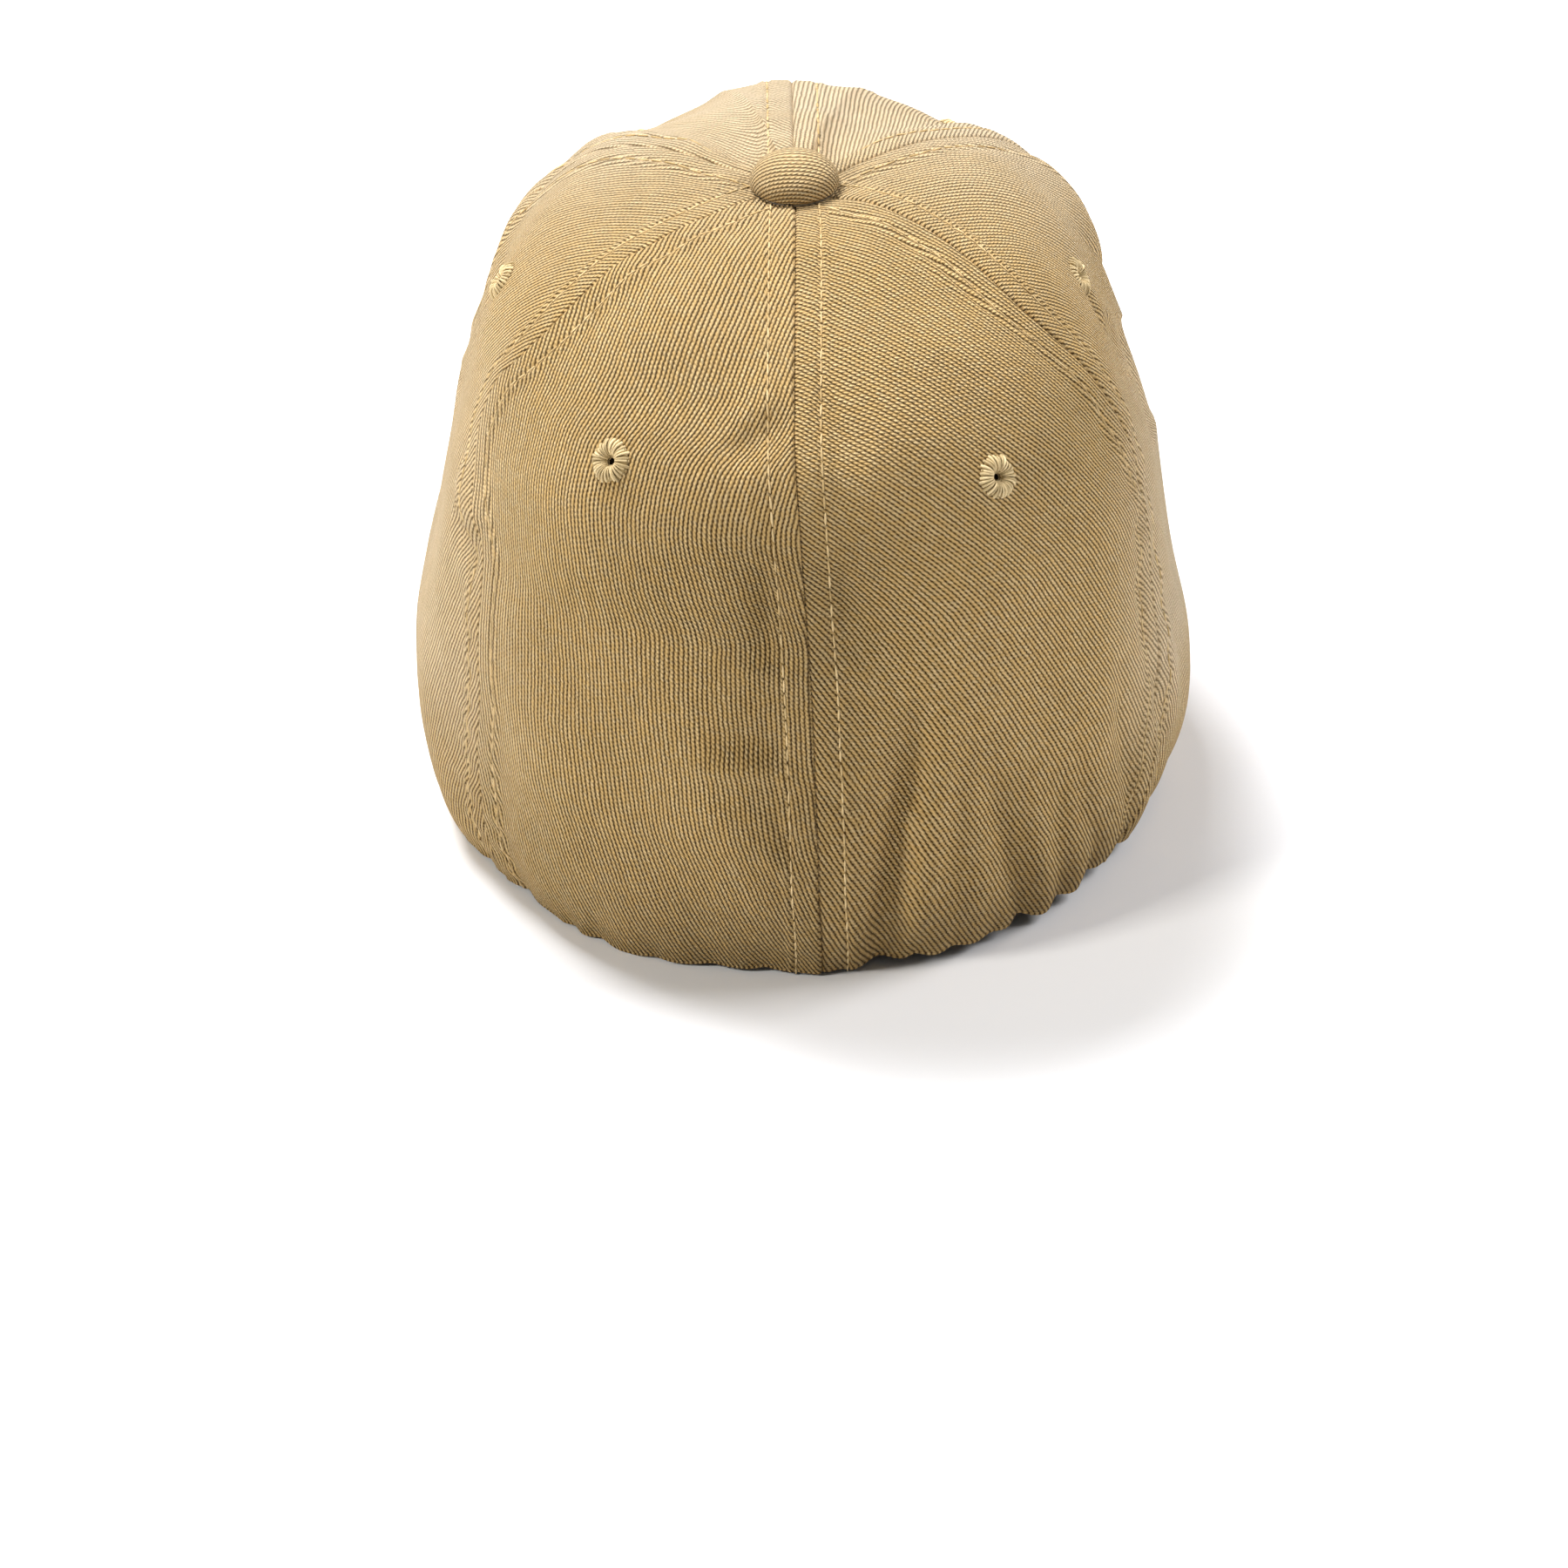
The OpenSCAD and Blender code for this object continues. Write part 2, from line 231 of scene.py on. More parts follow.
# Where the seams lie, in degrees, and how far each wanders off its line: (v, degrees)
seams = {
    "places": (0, 60, 120, 180, 240, 300, 360),
    "wander": {
        0: ((-1, 2.0), (0, 1.5), (0.24, 1.0), (0.4, 0), (0.53, -0.8), (0.76, -0.5), (1, 0)),
        1: ((-1, 4), (0, 7), (0.15, 10), (0.32, 11), (0.42, 6), (0.5, 1.5), (0.64, -4.5), (0.8, -1), (1, 0)),
        2: ((-1, 0), (0.1, 0), (0.4, 5), (0.62, 9), (0.85, 7), (1, 0)),
        4: ((-1, 0), (0.4, 0), (0.73, -4), (0.9, -6), (1, 0)),
        5: ((-1, 0), (0.05, 0), (0.15, 2.4), (0.3, 1.8), (0.36, -3.5), (0.43, -8.5), (0.48, -7), (0.53, -1),
            (0.58, 2.2), (0.7, 3.2), (0.85, 2), (1, 0)),
    },
}


def easedCurve(points, x):
    # a smooth curve through the points that never swings past them
    px, py = np.array(points, float).T
    rise = np.diff(py) / np.diff(px)
    slope = np.zeros(len(px))
    same = rise[1:] * rise[:-1] > 0
    slope[1:-1][same] = 2 / (1 / rise[1:][same] + 1 / rise[:-1][same])
    i = np.clip(np.searchsorted(px, x) - 1, 0, len(px) - 2)
    span = px[i + 1] - px[i]
    t = np.clip((x - px[i]) / span, 0, 1)
    return (py[i] * (1 + 2 * t) * (1 - t) ** 2 + py[i + 1] * t * t * (3 - 2 * t)
            + slope[i] * span * t * (1 - t) ** 2 - slope[i + 1] * span * t * t * (1 - t))


def seamAzimuth(k, v):
    base = seams["places"][k]
    hem = {60: crownForm["rearSeamHem"], 300: 360 - crownForm["rearSeamHem"]}.get(base, base)
    turn = hem + (base - hem) * np.clip(v, 0, 1)
    if k % 6 in seams["wander"]:
        turn = turn + easedCurve(seams["wander"][k % 6], np.asarray(v, float))
    return np.radians(turn)


# How the cloth lies over the form
cloth = {
    "seamSink": 0.7 * mm,         # the groove where two panels meet
    "seamWidth": 0.36 * mm,
    "seamStep": 0.4 * mm,         # one panel laps a little over the next
    "allowance": 6.4 * mm,        # turned-in edge on each side of a seam
    "allowanceRise": 0.5 * mm,
    "stitchOut": 5.5 * mm,        # topstitching, measured from the seam
    "stitchSink": 0.45 * mm,
    "stitchWidth": 0.65 * mm,
    "puff": 1.0 * mm,
    "hemLift": 2.6 * mm,          # drawn up along the rear of the right side
    "ripple": 0.34 * mm,          # puckers across the topstitching
    "rope": 0.24 * mm,            # cords beside the right rear seam, high up
    "pucker": 0.8 * mm,           # drawn-in cloth beside the left rear seam, high up
    "unrollReach": 90 * mm,       # radius that gathers and folds are laid out on
    "waveSeed": 11,
    "waveCount": 14,
    "waveLength": (22 * mm, 60 * mm),
    "waveRise": 0.0055,           # height of a wave as a share of its length
    "gatherRidge": 0.4,           # share of a gather's depth that stands up beside it
    "gatherValley": 0.85,
    "gatherLift": 0.55,
}

# Gathers of the hem: azimuth in degrees, half width, height and depth in mm, lean in degrees
hemGathers = (
    (-84, 3.4, 14, 0.5, 0), (-70, 3.4, 16, 0.6, 0), (-58, 2.4, 12, 0.5, 4), (-47.5, 3.0, 15, 0.5, -5),
    (-36, 2.0, 13, 0.6, 0), (-31, 3.0, 18, 0.7, 6), (-22, 2.4, 11, 0.4, 0), (-13.5, 3.4, 22, 0.5, -6),
    (-6, 2.2, 12, 0.4, 4), (4.5, 2.4, 12, 0.5, 4), (10.5, 2.8, 20, 0.3, 4), (15.2, 2.8, 22, 1.0, 6),
    (20.8, 2.8, 18, 0.6, -6), (27, 2.4, 12, 0.3, 0), (32.6, 2.8, 26, 0.9, -8), (40.5, 2.8, 18, 0.7, -4),
    (47.5, 2.8, 18, 0.7, -10), (56.5, 3.0, 18, 0.5, -8), (66, 3.2, 16, 0.5, -6), (76, 3.2, 16, 0.7, -4),
    (88, 3.4, 14, 0.5, 0), (99, 3.4, 12, 0.4, 0), (-99, 3.4, 12, 0.4, 0),
)

# Longer folds: a path of (azimuth in degrees, height in mm), rise or dent in mm, half width in mm
longFolds = (
    (((15.5, 72), (14, 53), (12.5, 40), (11, 20), (10.5, 4), (10, -10)), -4.2, 4.3),
    (((5, 56), (5.5, 42), (6, 30), (6.5, 16), (6.5, 2)), 1.3, 3.6),
    (((18, 66), (17, 47), (15.5, 33), (14.5, 18), (14.5, 6)), 2.2, 3.8),
    (((24.5, 48), (26.5, 32), (28, 20), (32, 5), (34, -8)), -1.7, 3.0),
    (((22.5, 50), (22.5, 30), (23.5, 12), (24, -2)), 0.9, 3.8),
    (((37.5, 40), (37, 20), (39, 5), (41, -8)), -1.5, 2.8),
    (((32, 44), (32.5, 24), (35, 8)), 0.9, 3.0),
    (((40, 42), (42, 24), (46, 10), (49, -6)), -1.2, 2.6),
    (((50, 60), (50, 40), (54, 16), (57, -8)), -1.2, 3.2),
    (((62, 80), (60, 56), (63, 30), (67, 8)), -1.5, 3.6),
    (((70, 70), (69, 46), (71, 20)), 1.0, 4.6),
    (((0.8, 56), (5.5, 52), (11, 48)), 1.1, 2.4),
    (((2.5, 47), (6, 45), (9.5, 43)), -0.9, 2.6),
    (((-4.8, 104), (-4.2, 90), (-5.2, 78)), -2.6, 4.8),
    (((-1, 126.5), (-6.5, 124), (-12, 120)), -1.7, 3.2),
    (((-1, 130), (-6, 128), (-11, 125)), 1.0, 2.8),
    (((2, 128), (6, 125), (11, 121)), -1.1, 4.2),
    (((4.6, 102), (5.4, 92), (4.8, 80)), -1.3, 3.8),
    (((11, 98), (8.5, 90), (8, 80)), -0.8, 4.2),
    (((-15, 54), (-8, 55), (-3, 54), (0, 51.5)), 1.3, 2.3),
    (((-13, 61), (-7, 61.5), (-2.4, 60)), -1.3, 3.2),
    (((-12, 48), (-7, 47), (-2, 45)), -0.6, 3.0),
    (((-5, 43), (-2.2, 39), (-3, 32)), -1.3, 2.6),
    (((-6, 37), (-3, 33), (-2, 28)), 0.7, 2.4),
    (((-122, 120), (-124, 106)), 2.2, 13.0),
    (((-100, 116), (-101, 84)), -3.4, 11.0),
    (((126, 122), (114, 104)), 2.6, 17.0),
    (((108, 94), (104, 84), (102, 70)), -4.6, 11.0),
    (((92, 108), (88, 96)), -2.0, 10.0),
    (((-136, 118), (-150, 119), (-168, 113)), -4.6, 16.0),
    (((140, 118), (152, 118), (168, 113)), -4.0, 16.0),
    (((88.5, 123), (84.5, 113), (85, 105), (83.5, 97)), -1.2, 2.8),
    (((-68, 92), (-62, 88), (-56, 84)), 2.2, 5.0),
    (((-66, 84), (-60, 80), (-55, 77)), -1.5, 3.4),
    (((-62, 76), (-57, 70), (-54, 62)), 0.9, 3.6),
    (((66, 92), (64, 84), (62, 76)), -1.2, 3.0),
    (((-40, 44), (-43, 28), (-44, 10)), 0.6, 5.0),
)


def pathDistance(x, y, path):
    # distance to a path on the unrolled crown, and how far along it the nearest point lies (0 to 1)
    best = np.full(x.shape, 1e9)
    along = np.zeros(x.shape)
    pts = np.array([(math.radians(a) * cloth["unrollReach"], h * mm) for a, h in path])
    lengths = np.linalg.norm(np.diff(pts, axis=0), axis=1)
    total, done = lengths.sum(), 0.0
    for p, q, length in zip(pts[:-1], pts[1:], lengths):
        d = q - p
        t = np.clip(((x - p[0]) * d[0] + (y - p[1]) * d[1]) / length ** 2, 0, 1)
        gap = np.hypot(x - p[0] - t * d[0], y - p[1] - t * d[1])
        along = np.where(gap < best, (done + t * length) / total, along)
        best = np.minimum(best, gap)
        done += length
    return best, along


def seamGap(az, v, reach):
    # distance to the nearest seam, and that seam's number, with a sign for its side
    best = np.full(az.shape, 1e9)
    which = np.zeros(az.shape)
    for k in range(6):
        turn = (az - seamAzimuth(k, v) + math.pi) % (2 * math.pi) - math.pi
        gap = np.abs(turn) * reach
        which = np.where(gap < best, k + 0.5 * (turn > 0), which)
        best = np.minimum(best, gap)
    return best, which


def seamRelief(out, v, z, reach, gap, which, away):
    # adds what sewing does to the outer face
    flat = 1 - smooth(cloth["allowance"], cloth["allowance"] + 1.4 * mm, gap)
    out = out + cloth["allowanceRise"] * flat * smooth(5 * mm, 14 * mm, reach)
    out = out + cloth["seamStep"] * np.where(np.isin(which, (0, 5.5)), hill(gap, 2.6 * mm), 0)
    out = out - cloth["seamSink"] * np.exp(-(gap / cloth["seamWidth"]) ** 1.3)
    out = out - cloth["stitchSink"] * hill(gap - cloth["stitchOut"], cloth["stitchWidth"]) * away
    run = z + 0.8 * reach
    phase = 2 * math.pi * run / (9.5 * mm) + 2.3 * which + 2.4 * np.sin(run / (19 * mm) + 1.3 * which)
    swell = np.clip(0.35 + 0.75 * np.sin(run / (27 * mm) + 2.1 * which), 0, 1)
    out = out + cloth["ripple"] * swell * np.sin(phase) * hill(gap - 6 * mm, 4.2 * mm) * away
    upper = hill(v - 0.68, 0.13)
    rope = np.cos(2 * math.pi * gap / (3.1 * mm)) * hill(gap - 7.6 * mm, 3.4 * mm)
    out = out + cloth["rope"] * upper * rope * (which == 1)
    pucker = np.cos(2 * math.pi * run / (11 * mm) + 0.8) * hill(gap - 4.5 * mm, 4.5 * mm)
    return out + cloth["pucker"] * upper * pucker * (which == 5.5)


def clothRelief(az, v, points, fine):
    # how far the cloth stands out from the form, and how far its edge is drawn up
    reach = np.hypot(points[..., 0], points[..., 1])
    height = points[..., 2] - hemZ(az)
    gap, which = seamGap(az, v, reach)
    away = smooth(9 * mm, 20 * mm, reach)
    out = cloth["puff"] * smooth(6 * mm, 30 * mm, gap) * away
    rng = np.random.default_rng(cloth["waveSeed"])
    for _ in range(cloth["waveCount"]):
        direction = rng.normal(size=3)
        direction /= np.linalg.norm(direction)
        length = rng.uniform(*cloth["waveLength"])
        shift = rng.uniform(0, 2 * math.pi)
        wave = np.sin(points @ direction * 2 * math.pi / length + shift)
        out = out + cloth["waveRise"] * length * away * wave
    turn = (az + math.pi) % (2 * math.pi) - math.pi
    x = turn * cloth["unrollReach"]
    lift = cloth["hemLift"] * smooth(0.12, 0.36, turn) * (1 - smooth(1.25, 1.6, turn)) * hill(height, 34 * mm)
    for degrees, width, tall, depth, lean in hemGathers:
        dx = x - math.radians(degrees) * cloth["unrollReach"] - math.tan(math.radians(lean)) * height
        fade = np.exp(-(np.clip(height, 0, 1) / (tall * mm)) ** 1.6)
        w = width * mm * (0.8 + 0.9 * np.clip(height, 0, 1) / (tall * mm))
        valley = np.exp(-np.abs(dx / w) ** 1.35)
        ridge = hill(np.abs(dx) - 2.1 * w, 1.2 * w)
        out = out + depth * mm * fade * (cloth["gatherRidge"] * ridge - cloth["gatherValley"] * valley)
        lift = lift + cloth["gatherLift"] * depth * mm * valley * np.exp(-np.clip(height, 0, 1) / (8 * mm))
    for path, rise, width in longFolds:
        distance, share = pathDistance(x, height, path)
        fade = np.sin(math.pi * np.clip(share, 0, 1)) ** 0.6
        out = out + rise * mm * fade * hill(distance, width * mm)
    if fine:
        out = seamRelief(out, v, points[..., 2], reach, gap, which, away)
    return out, lift


def clothPoint(az, v, depth, fine=False):
    # a point of the worn crown, at a depth below the cloth's outer face
    base = crownPoint(az, v)
    az, v = (np.broadcast_to(a, base.shape[:-1]) for a in (az, v))
    out, lift = clothRelief(az, v, base, fine)
    point = base + crownNormal(az, v) * (out - depth)[..., None]
    point[..., 2] += lift
    return point


def evenRows(az, low, high, step):
    # v values at equal steps along one meridian, from the top down
    v = np.linspace(low, high, 1200)
    run = arcLength(crownPoint(np.full(v.shape, az), v), 0)
    count = max(3, int(round(run[-1] / step)))
    return np.interp(np.linspace(run[-1], 0, count + 1), run, v)


def flattenGore(points, centre):
    # lays a gore out flat about its centre line, so that the weave runs as it was cut
    along = arcLength(points[:, centre], 0)
    across = arcLength(points, 1)
    across = across - across[:, centre:centre + 1]
    reach = np.hypot(points[:, centre, 0], points[:, centre, 1])
    slope = np.gradient(reach, along + 1e-9 * np.arange(len(along)))
    radius = np.maximum(reach / np.maximum(slope, 0.002), along + reach[0])[:, None]
    turn = across / radius
    return np.stack([radius * np.sin(turn), -(along[:, None] - radius * (1 - np.cos(turn)))], -1)


def flatCut(uv):
    # width, length and area of a flat cut, in metres
    low, high = uv.reshape(-1, 2).min(0), uv.reshape(-1, 2).max(0)
    a, b = uv[1:, 1:] - uv[:-1, :-1], uv[1:, :-1] - uv[:-1, 1:]
    area = float(np.abs(a[..., 0] * b[..., 1] - a[..., 1] * b[..., 0]).sum() / 2)
    width, length = (float(x) for x in high - low)
    return (width, length), 0.999 * min(area, width * length)


# Eyelets lie at (azimuth in degrees, v), one in each panel
eyelets = {
    "front_left_eyelet": (209, 0.52), "front_right_eyelet": (151, 0.52),
    "side_left_eyelet": (272, 0.55), "side_right_eyelet": (88, 0.55),
    "rear_left_eyelet": (331, 0.473), "rear_right_eyelet": (29, 0.449),
}
eyeletLook = {
    "hole": 0.95 * mm, "rim": 4.4 * mm, "clothHole": 3.0 * mm, "thread": 0.26 * mm, "rise": 1.0 * mm,
    "stitches": 30, "seed": 5,
    "throughFront": 0.55 * mm,    # the buckram that a front eyelet is sewn through as well
    "lift": 0.1 * mm,
}


def eyeletHole(grid, name):
    # cells of a grid of points that lie inside an eyelet's hole in the cloth
    az, v = eyelets[name]
    centre = clothPoint(math.radians(az), v, 0)
    middle = (grid[1:, 1:] + grid[:-1, 1:] + grid[1:, :-1] + grid[:-1, :-1]) / 4
    return np.linalg.norm(middle - centre, axis=-1) < eyeletLook["clothHole"]


panelGrid = {
    "fineStep": 0.5 * mm,       # near the seams
    "edgeSteps": (0, 0.12 * mm, 0.28 * mm, 0.5 * mm, 0.8 * mm, 1.2 * mm),
    "coarseStep": 1.2 * mm,
    "fineMargin": 9.0 * mm,
    "rowStep": 1.1 * mm,
    "hemRoll": 0.85 * mm,       # how far the folded hem reaches below the last row
    "rollRows": 6,
}
panels = {
    "rear_right_panel": 0, "side_right_panel": 1, "front_right_panel": 2,
    "front_left_panel": 3, "side_left_panel": 4, "rear_left_panel": 5,
}
grainLean = {      # degrees between the twill's ribs and the panel's middle line
    "rear_right_panel": 32, "side_right_panel": 26, "front_right_panel": 20,
    "front_left_panel": 22, "side_left_panel": -22, "rear_left_panel": 8,
}
grainBend = {      # (height in mm, further degrees of lean) where the cloth was eased in sewing
    "rear_left_panel": ((0, 10), (20, 10), (38, 8), (58, -7), (88, -14), (115, -4), (141, 0)),
}


def gradedColumns(width):
    fine, margin = panelGrid["fineStep"], panelGrid["fineMargin"]
    first = np.array(panelGrid["edgeSteps"])
    edge = np.concatenate([first, np.linspace(first[-1], margin, int((margin - first[-1]) / fine) + 1)[1:]])
    count = int(round((width - 2 * margin) / panelGrid["coarseStep"])) + 1
    middle = np.linspace(margin, width - margin, count)
    return np.concatenate([edge, middle[1:-1], width - edge[::-1]]) / width


def buildPanel(name):
    k = panels[name]
    rows = evenRows(math.radians(45), -1, 1, panelGrid["rowStep"])
    t = gradedColumns(92 * mm)[None, :]
    v = rows[:, None] * np.ones_like(t)
    left, right = seamAzimuth(k, v), seamAzimuth(k + 1, v)
    az = left + (right - left) * t
    roll = panelGrid["hemRoll"]
    floor = vAtHeight(az, hemZ(az) + roll)
    v = np.where(v < 0, floor * -v, v)          # squeezes the wall rows above the hem's fold
    outer = clothPoint(az, v, 0, fine=True)
    inner = clothPoint(az, v, crownForm["cloth"])
    normal = crownNormal(az[-1], v[-1])
    normal[..., 2] = 0
    normal /= np.linalg.norm(normal, axis=-1, keepdims=True)
    turns = np.linspace(0, math.pi, panelGrid["rollRows"] + 2)[1:-1, None, None]
    foot = mix(outer[-1], inner[-1], (1 - np.cos(turns)) / 2)
    foot[..., 2] -= roll * np.sin(turns[..., 0])
    form = crownPoint(az, v)
    uv = flattenGore(form, t.shape[1] // 2)
    if name in grainBend:
        height, lean = np.array(grainBend[name], float).T
        tall = np.linspace(0, 150 * mm, 300)
        drift = np.tan(np.radians(np.interp(tall, height * mm, lean)))
        eased = np.concatenate([[0], np.cumsum(drift)[:-1] * tall[1]])
        uv[..., 0] += np.interp(form[..., 2], tall, eased)
    hole = eyeletHole(outer, name.replace("panel", "eyelet"))
    return foldedSheet(name + "_cloth", outer, inner, foot, uv, hole=hole), flatCut(uv)


pieces = {}        # piece name -> (piece, replaced nodes, slot)


def keepCloth(built, nodeName, slot):
    piece, (flat, area) = built
    pieces[piece.name] = (piece, (nodeName,), slot)


for nodeName in panels:
    under = nodeName.replace("panel", "buckram") if "front" in nodeName else "sweatband"
    keepCloth(buildPanel(nodeName), nodeName, "cotton_twill")
print("cap: six panels cut and sewn")

linings = {
    "buckramThick": 0.5 * mm, "buckramRows": (-0.94, 0.9), "buckramStep": 1.8 * mm,
    "tapeThick": 0.45 * mm, "tapeWidth": 12 * mm, "tapeRows": 110, "tapeGap": 0.4 * mm,
    "bridge": 7.2 * mm,           # half the length that crosses the apex
    "elasticDepth": 1.5 * mm, "elasticThick": 0.4 * mm, "elasticFoot": 3 * mm, "elasticTall": 20 * mm,
    "elasticTurn": 76,
}


def buildBuckram(name, k):
    rows = evenRows(math.radians(150), *linings["buckramRows"], linings["buckramStep"])
    v = rows[:, None] * np.ones((1, 52))
    left, right = seamAzimuth(k, v), seamAzimuth(k + 1, v)
    reach = np.hypot(*np.moveaxis(crownPoint((left + right) / 2, v)[..., :2], -1, 0))
    edge = np.arcsin((linings["tapeWidth"] / 2 + linings["tapeGap"]) / reach)
    az = mix(left + edge, right - edge, np.linspace(0, 1, 52)[None, :])
    top = crownForm["lining"]
    outer = clothPoint(az, v, top)
    inner = clothPoint(az, v, top + linings["buckramThick"])
    uv = flattenGore(crownPoint(az, v), 26)
    hole = eyeletHole(outer, name.replace("buckram", "eyelet"))
    return foldedSheet(name + "_sheet", outer, inner, None, uv, hole=hole), flatCut(uv)


def tapeStrip(k, rows):
    # centre line and half width of a tape at its own seam, as azimuths
    v = rows[:, None] * np.ones((1, 13))
    line = seamAzimuth(k, v)
    base = crownPoint(line, v)
    half = np.arcsin(np.clip(linings["tapeWidth"] / 2 / np.hypot(base[..., 0], base[..., 1]), 0, 1))
    return line + np.linspace(-1, 1, 13)[None, :] * half, v


def buildTape(name, k):
    top = float(vNearApex(math.radians(60), linings["tapeWidth"] + 2 * mm))
    az, v = tapeStrip(k, np.linspace(top, -0.94, linings["tapeRows"]))
    outer = clothPoint(az, v, crownForm["lining"])
    inner = clothPoint(az, v, crownForm["lining"] + linings["tapeThick"])
    run = arcLength(outer[:, 6:7], 0)
    uv = np.stack([np.broadcast_to(np.linspace(-0.5, 0.5, 13) * linings["tapeWidth"], v.shape),
                   np.broadcast_to(-run, v.shape)], -1)
    return foldedSheet(name + "_strip", outer, inner, None, uv), flatCut(uv)


def buildCentreTape():
    # up the back, over the apex and down the front in one length
    start = float(vNearApex(0, linings["bridge"]))
    rows = np.linspace(-0.94, start, linings["tapeRows"])
    backAz, backV = tapeStrip(0, rows)
    frontAz, frontV = tapeStrip(3, rows[::-1])
    x = np.linspace(-0.5, 0.5, 13) * linings["tapeWidth"]
    y = np.linspace(-1, 1, 25)[1:-1, None] * linings["bridge"]
    gridX, gridY = np.broadcast_arrays(x[None, :], y)
    layers = []
    for depth in (crownForm["lining"], crownForm["lining"] + linings["tapeThick"]):
        back = clothPoint(backAz, backV, depth)
        front = clothPoint(frontAz, frontV, depth)[:, ::-1]
        over = np.stack([gridX, gridY, np.full(gridX.shape, crownForm["height"] - depth)], -1)
        share = (np.abs(gridY) / linings["bridge"]) ** 2
        ends = np.where(gridY < 0, back[-1, None, :, 2], front[0, None, :, 2])
        over[..., 2] = mix(over[..., 2], ends, share)
        layers.append(np.concatenate([back, over, front])[::-1])
    outer, inner = layers
    run = arcLength(outer[:, 6:7], 0)
    uv = np.stack([np.broadcast_to(x, outer.shape[:2]), np.broadcast_to(-run, outer.shape[:2])], -1)
    middle = (outer[1:, 1:] + outer[:-1, :-1]) / 2
    hole = np.hypot(middle[..., 0], middle[..., 1]) < crownForm["apexHole"]
    return foldedSheet("centre_seam_tape_strip", outer, inner, None, uv, hole=hole), flatCut(uv)


def bandPoint(az, rise, depth):
    return clothPoint(az, vAtHeight(az, hemZ(az) + rise), depth)


def buildElastic():
    turn = math.radians(linings["elasticTurn"])
    az = np.linspace(-turn, turn, 200)[None, :]
    rise = np.linspace(linings["elasticFoot"] + linings["elasticTall"], linings["elasticFoot"], 14)[:, None]
    az, rise = np.broadcast_arrays(az, rise)
    outer = bandPoint(az, rise, linings["elasticDepth"])
    inner = bandPoint(az, rise, linings["elasticDepth"] + linings["elasticThick"])
    uv = np.stack([arcLength(outer, 1), rise], -1)
    return foldedSheet("rear_elastic_strip", outer, inner, None, uv), flatCut(uv)


for nodeName, k in (("front_right_buckram", 2), ("front_left_buckram", 3)):
    keepCloth(buildBuckram(nodeName, k), nodeName, "buckram")
for nodeName, k in (("front_left_seam_tape", 4), ("front_right_seam_tape", 2),
                    ("rear_left_seam_tape", 5), ("rear_right_seam_tape", 1)):
    keepCloth(buildTape(nodeName, k), nodeName, "seam_tape")
keepCloth(buildCentreTape(), "centre_seam_tape", "seam_tape")
keepCloth(buildElastic(), "rear_elastic", "elastic")
print("cap: buckram, tapes and elastic laid in")

sweatband = {
    "depth": 1.95 * mm, "thick": 1.1 * mm, "foot": 0.8 * mm, "tall": 32 * mm,
    "columns": 560, "rows": 40,
    "piping": 0.45 * mm,          # how far the bound top edge swells
    "stitchBelow": 4.2 * mm,
    "quilt": 0.28 * mm,           # shallow channels pressed round the band
    "quiltStep": 6.5 * mm,
    "pucker": 0.35 * mm,          # small gathers at the rear
}


def bandDepth(az, rise):
    # depth of the band's inner face
    fromTop = sweatband["tall"] - rise
    swell = sweatband["piping"] * np.sqrt(np.clip(1 - ((fromTop - 1.1 * mm) / (1.3 * mm)) ** 2, 0, 1))
    belowStitch = fromTop - sweatband["stitchBelow"]
    groove = sweatband["quilt"] * hill(belowStitch, 0.8 * mm)
    for i in range(1, 4):
        groove = groove + 0.6 * sweatband["quilt"] * hill(belowStitch - i * sweatband["quiltStep"], 0.7 * mm)
    back = np.clip(np.cos(az), 0, 1) ** 0.7
    wave = np.sin(az * 61 + 1.4 * np.sin(az * 11)) * np.sin(math.pi * np.clip(rise / sweatband["tall"], 0, 1))
    return sweatband["depth"] + sweatband["thick"] + swell - groove + sweatband["pucker"] * back * wave


def buildSweatband():
    az = np.linspace(0, 2 * math.pi, sweatband["columns"], endpoint=False)[None, :]
    rise = np.linspace(sweatband["tall"], sweatband["foot"], sweatband["rows"])[:, None]
    az, rise = np.broadcast_arrays(az, rise)
    outer = bandPoint(az, rise, sweatband["depth"])
    inner = bandPoint(az, rise, bandDepth(az, rise))
    uv = np.stack([arcLength(outer, 1), rise], -1)
    return foldedSheet("sweatband_band", outer, inner, None, uv, ring=True), flatCut(uv)


label = {
    "width": 24 * mm, "height": 17 * mm, "foot": 8 * mm, "thick": 0.35 * mm, "curl": 0.8 * mm,
    "gap": 0.12 * mm, "stitchBelow": 1.2 * mm,
}


def buildLabel():
    half = math.asin(label["width"] / 2 / crownForm["backReach"])
    t = np.linspace(-1, 1, 41)[None, :]
    rise = label["foot"] + np.linspace(label["height"], 0, 29)[:, None]
    t, rise = np.broadcast_arrays(t, rise)
    az = t * half
    low = (rise - label["foot"]) / label["height"]
    curl = label["curl"] * (1 - low) ** 3 * (0.4 + 0.6 * t * t)
    depth = bandDepth(az, rise) + label["gap"] + curl
    outer = bandPoint(az, rise, depth)
    inner = bandPoint(az, rise, depth + label["thick"])
    uv = np.stack([t * label["width"] / 2, rise], -1)
    return foldedSheet("size_label_tag", outer, inner, None, uv), flatCut(uv)


keepCloth(buildSweatband(), "sweatband", "sweatband_cloth")
keepCloth(buildLabel(), "size_label", "label_satin")
print("cap: sweatband and label sewn in")

